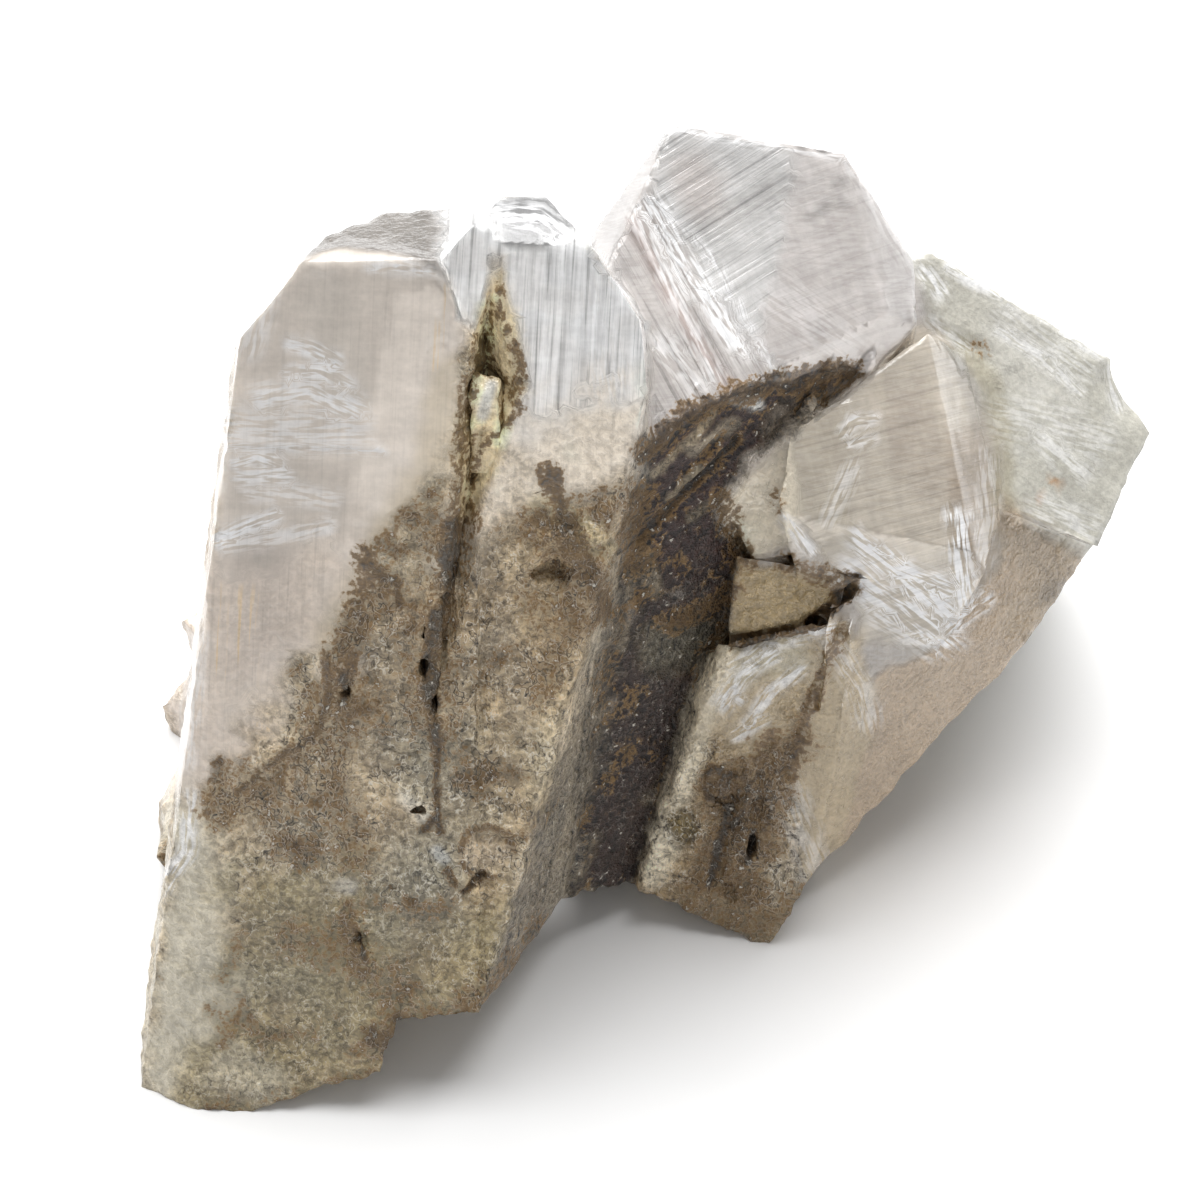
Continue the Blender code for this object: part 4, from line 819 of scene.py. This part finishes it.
class Shader:
    """Short ways to add and join the nodes of one material."""

    def __init__(self, name):
        self.material = bpy.data.materials.new(name)
        self.material.use_nodes = True
        self.tree = self.material.node_tree
        self.surface = self.tree.nodes["Principled BSDF"]
        self.output = self.tree.nodes["Material Output"]

    def node(self, kind, settings=None, inputs=None):
        made = self.tree.nodes.new(kind)
        for key, value in (settings or {}).items():
            setattr(made, key, value)
        for key, value in (inputs or {}).items():
            if isinstance(value, bpy.types.NodeSocket):
                self.tree.links.new(value, made.inputs[key])
            else:
                made.inputs[key].default_value = value
        return made

    def painted(self, name, output="Fac"):
        return self.node("ShaderNodeAttribute", {"attribute_name": name}).outputs[output]

    def maths(self, operation, first, second=0.0, third=0.0, clamp=False):
        settings = {"operation": operation, "use_clamp": clamp}
        return self.node("ShaderNodeMath", settings, {0: first, 1: second, 2: third}).outputs[0]

    def noise(self, place, scale, detail=3.0, distortion=0.0):
        return self.node("ShaderNodeTexNoise", {}, {
            "Vector": place, "Scale": scale, "Detail": detail, "Distortion": distortion}).outputs["Fac"]

    def ramp(self, value, low, high, from_value=0.0, to_value=1.0):
        return self.node("ShaderNodeMapRange", {"interpolation_type": "SMOOTHSTEP"}, {
            "Value": value, "From Min": low, "From Max": high,
            "To Min": from_value, "To Max": to_value}).outputs["Result"]

    def mix(self, share, first, second, blend="MIX"):
        made = self.node("ShaderNodeMix", {"data_type": "RGBA", "blend_type": blend})
        for key, value in (("Factor", share), ("A", first), ("B", second)):
            kind = "VALUE" if key == "Factor" else "RGBA"
            socket = [item for item in made.inputs if item.name == key and item.type == kind][0]
            if isinstance(value, bpy.types.NodeSocket):
                self.tree.links.new(value, socket)
            else:
                socket.default_value = value
        return [item for item in made.outputs if item.type == "RGBA"][0]

    def stretched(self, place, across, along):
        return self.node("ShaderNodeVectorMath", {"operation": "MULTIPLY"}, {
            0: place, 1: (across, along, 1.0)}).outputs[0]

    def join(self, output, key):
        self.tree.links.new(output, self.surface.inputs[key])


def crystal_material():
    """Clear to milky crystal, etched and stained where the painted layers say so."""
    shader = Shader("danburite_worn")
    place = shader.node("ShaderNodeTexCoord").outputs["Object"]
    in_mm = shader.node("ShaderNodeVectorMath", {"operation": "SCALE"}, {0: place, "Scale": 1.0 / MM}).outputs[0]
    tone = shader.painted("tone", "Color")
    clear = shader.painted("clear")
    rough = shader.painted("rough")
    dirt = shader.painted("dirt")
    veil = shader.painted("veil")
    gold = shader.painted("gold")
    flow = shader.painted("flow", "Vector")
    lines = shader.painted("lines")
    grain = shader.painted("grain", "Vector")

    # Growth lines, sugary grain and thin etched hairs
    line_noise = shader.node("ShaderNodeTexNoise", {}, {
        "Vector": shader.stretched(grain, 1.5, 0.06), "Scale": 1.0, "Detail": 3.0, "Roughness": 0.72}).outputs["Fac"]
    line_light = shader.ramp(line_noise, 0.32, 0.68, -1.0, 1.0)
    sugar = shader.node("ShaderNodeTexNoise", {}, {
        "Vector": in_mm, "Scale": 2.0, "Detail": 2.0, "Roughness": 0.62}).outputs["Fac"]
    curl_one = shader.noise(shader.stretched(in_mm, 1.2, 1.8), 1.0, 1.0)
    curl_two = shader.noise(shader.stretched(in_mm, 2.1, 1.2), 1.1, 1.0)
    gap_one = shader.maths("ABSOLUTE", shader.maths("SUBTRACT", curl_one, 0.47))
    gap_two = shader.maths("ABSOLUTE", shader.maths("SUBTRACT", curl_two, 0.54))
    hairs = shader.ramp(shader.maths("MINIMUM", gap_one, gap_two), 0.003, 0.026, 1.0, 0.0)
    hairs = shader.maths("MULTIPLY", hairs, shader.ramp(sugar, 0.42, 0.54))
    etched = shader.ramp(rough, 0.30, 0.41)
    places = shader.ramp(shader.noise(in_mm, 0.32, 1.0), 0.38, 0.62, 0.45, 1.0)
    etched_places = shader.maths("MULTIPLY", etched, places)

    # Colour
    light = shader.maths("MULTIPLY_ADD", shader.maths("MULTIPLY", line_light, lines), 0.11, 1.0)
    thin_noise = shader.noise(shader.stretched(grain, 3.4, 0.07), 1.0, 1.0)
    thin_light = shader.maths("MULTIPLY", shader.ramp(thin_noise, 0.36, 0.43, -1.0, 0.0), lines)
    light = shader.maths("MULTIPLY_ADD", thin_light, 0.16, light)
    sugar_light = shader.ramp(sugar, 0.30, 0.70, -1.0, 1.0)
    sugar_light = shader.maths("MULTIPLY", sugar_light, shader.ramp(rough, 0.12, 0.42, 0.04, 0.38))
    light = shader.maths("ADD", light, sugar_light)
    gap_three = shader.maths("ABSOLUTE", shader.maths("SUBTRACT", curl_one, 0.41))
    gap_four = shader.maths("ABSOLUTE", shader.maths("SUBTRACT", curl_two, 0.61))
    gaps = shader.ramp(shader.maths("MINIMUM", gap_three, gap_four), 0.006, 0.038, 1.0, 0.0)
    light = shader.maths("MULTIPLY_ADD", shader.maths("MULTIPLY", gaps, etched_places), -0.58, light)
    feathers = shader.node("ShaderNodeTexNoise", {}, {
        "Vector": shader.stretched(grain, 0.16, 0.75), "Scale": 1.0, "Detail": 3.0, "Roughness": 0.65}).outputs["Fac"]
    feather_light = shader.maths("MULTIPLY", shader.ramp(feathers, 0.32, 0.68, -0.045, 0.065), shader.ramp(rough, 0.14, 0.3, 1.0, 0.2))
    light = shader.maths("ADD", light, feather_light)
    gold_lines = shader.maths("MULTIPLY", shader.ramp(line_noise, 0.54, 0.62), gold)
    colour = shader.mix(gold_lines, tone, (*GOLD, 1.0))

    flake_noise = shader.noise(shader.stretched(flow, 0.55, 3.6), 1.0, 2.0)
    flakes = shader.maths("MULTIPLY", shader.ramp(flake_noise, 0.39, 0.57), veil, clamp=True)
    colour = shader.mix(flakes, colour, (*WHITE, 1.0))

    stain = shader.maths("MULTIPLY_ADD", shader.maths("SUBTRACT", sugar, 0.5), 2.6, dirt)
    stain_cover = shader.maths("MULTIPLY", shader.ramp(stain, 0.10, 0.55), shader.ramp(dirt, 0.05, 0.25))
    stain_colour = shader.mix(shader.ramp(stain, 0.40, 0.95), (*OCHRE, 1.0), (*BROWN, 1.0))
    stain_colour = shader.mix(shader.ramp(stain, 0.92, 1.20), stain_colour, (*DARK, 1.0))
    colour = shader.mix(shader.maths("MULTIPLY", stain_cover, 0.92), colour, stain_colour)
    light_colour = shader.node("ShaderNodeCombineColor", {}, {"Red": light, "Green": light, "Blue": light}).outputs["Color"]
    colour = shader.mix(1.0, colour, light_colour, "MULTIPLY")
    hair_share = shader.maths("MULTIPLY", etched_places, shader.ramp(lines, 1.0, 1.8, 0.70, 0.05))
    hair_share = shader.maths("MULTIPLY", hair_share, shader.maths("MULTIPLY_ADD", stain_cover, -0.5, 1.0))
    # Painted highlights: tiny bright dots on etched faces, mixed into the base colour together with the light fibres
    painted_glints = shader.maths("MULTIPLY", shader.ramp(sugar, 0.665, 0.72), shader.ramp(etched, 0.0, 1.0, 0.0, 0.7))
    pale = shader.maths("MAXIMUM", shader.maths("MULTIPLY", hairs, hair_share), painted_glints)
    colour = shader.mix(pale, colour, (*FIBRE_AND_GLINT_WHITE, 1.0))
    shader.join(colour, "Base Color")

    # Gloss and clearness
    roughness = shader.maths("MULTIPLY_ADD", stain_cover, 0.15, rough)
    roughness = shader.maths("ADD", roughness, shader.ramp(sugar, 0.3, 0.7, 0.06, -0.06), clamp=True)
    shader.join(roughness, "Roughness")
    see_through = shader.maths("MULTIPLY", clear, shader.maths("SUBTRACT", 1.0, stain_cover))
    see_through = shader.maths("MULTIPLY", see_through, shader.maths("MULTIPLY_ADD", flakes, -0.7, 1.0), clamp=True)
    shader.join(see_through, "Transmission Weight")
    shader.surface.inputs["IOR"].default_value = 1.63
    shader.surface.inputs["Metallic"].default_value = 0.0

    # Fine surface
    height = shader.maths("MULTIPLY", shader.maths("MULTIPLY", line_noise, lines), 0.10)
    height = shader.maths("MULTIPLY_ADD", sugar, shader.ramp(rough, 0.12, 0.42, 0.0, 0.55), height)
    bump = shader.node("ShaderNodeBump", {}, {"Strength": 1.0, "Distance": MM, "Height": height})
    shader.join(bump.outputs["Normal"], "Normal")

    return shader.material


def floor_material():
    shader = Shader("pale_floor")
    place = shader.node("ShaderNodeTexCoord").outputs["Object"]
    cloudy = shader.noise(place, 30.0, 3.0)
    shade = shader.ramp(cloudy, 0.3, 0.7, 0.88, 0.92)
    colour = shader.node("ShaderNodeCombineColor", {}, {"Red": shade, "Green": shade, "Blue": shade})
    shader.join(colour.outputs["Color"], "Base Color")
    shader.surface.inputs["Roughness"].default_value = 0.9
    shader.surface.inputs["Specular IOR Level"].default_value = 0.1
    return shader.material


def add_floor():
    bm = bmesh.new()
    bmesh.ops.create_grid(bm, x_segments=8, y_segments=8, size=FLOOR_HALF)
    mesh = bpy.data.meshes.new("floor")
    bm.to_mesh(mesh)
    bm.free()
    floor = bpy.data.objects.new("floor", mesh)
    bpy.context.scene.collection.objects.link(floor)
    floor.location.z = -0.02 * MM
    mesh.materials.append(floor_material())


def add_camera():
    eye, target = eye_place()
    data = bpy.data.cameras.new("photo_camera")
    data.lens = LENS
    data.sensor_width = SENSOR
    data.clip_start = 0.01
    data.clip_end = 10.0
    camera = bpy.data.objects.new("photo_camera", data)
    camera.location = eye
    camera.rotation_mode = "QUATERNION"
    camera.rotation_quaternion = (target - eye).to_track_quat("-Z", "Y")
    bpy.context.scene.collection.objects.link(camera)
    bpy.context.scene.camera = camera


def add_area_light(name, place, size, power):
    data = bpy.data.lights.new(name, "AREA")
    data.shape = "DISK"
    data.size = size
    data.energy = power
    light = bpy.data.objects.new(name, data)
    light.location = place
    light.rotation_mode = "QUATERNION"
    light.rotation_quaternion = (-Vector(place)).to_track_quat("-Z", "Y")
    bpy.context.scene.collection.objects.link(light)


def add_light():
    for name, place, size, power in LIGHTS:
        add_area_light(name, place, size, power)
    world = bpy.data.worlds.new("studio")
    world.use_nodes = True
    world.node_tree.nodes["Background"].inputs["Color"].default_value = (1.0, 1.0, 1.0, 1.0)
    world.node_tree.nodes["Background"].inputs["Strength"].default_value = WORLD_STRENGTH
    scene = bpy.context.scene
    scene.world = world
    scene.view_settings.view_transform = "Standard"
    scene.view_settings.look = "None"


crystals = dressed_crystal(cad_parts["danburite_cluster"])
crystals.data.materials.append(crystal_material())
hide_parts("danburite_cluster")
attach(crystals, "root")
add_floor()
add_camera()
add_light()
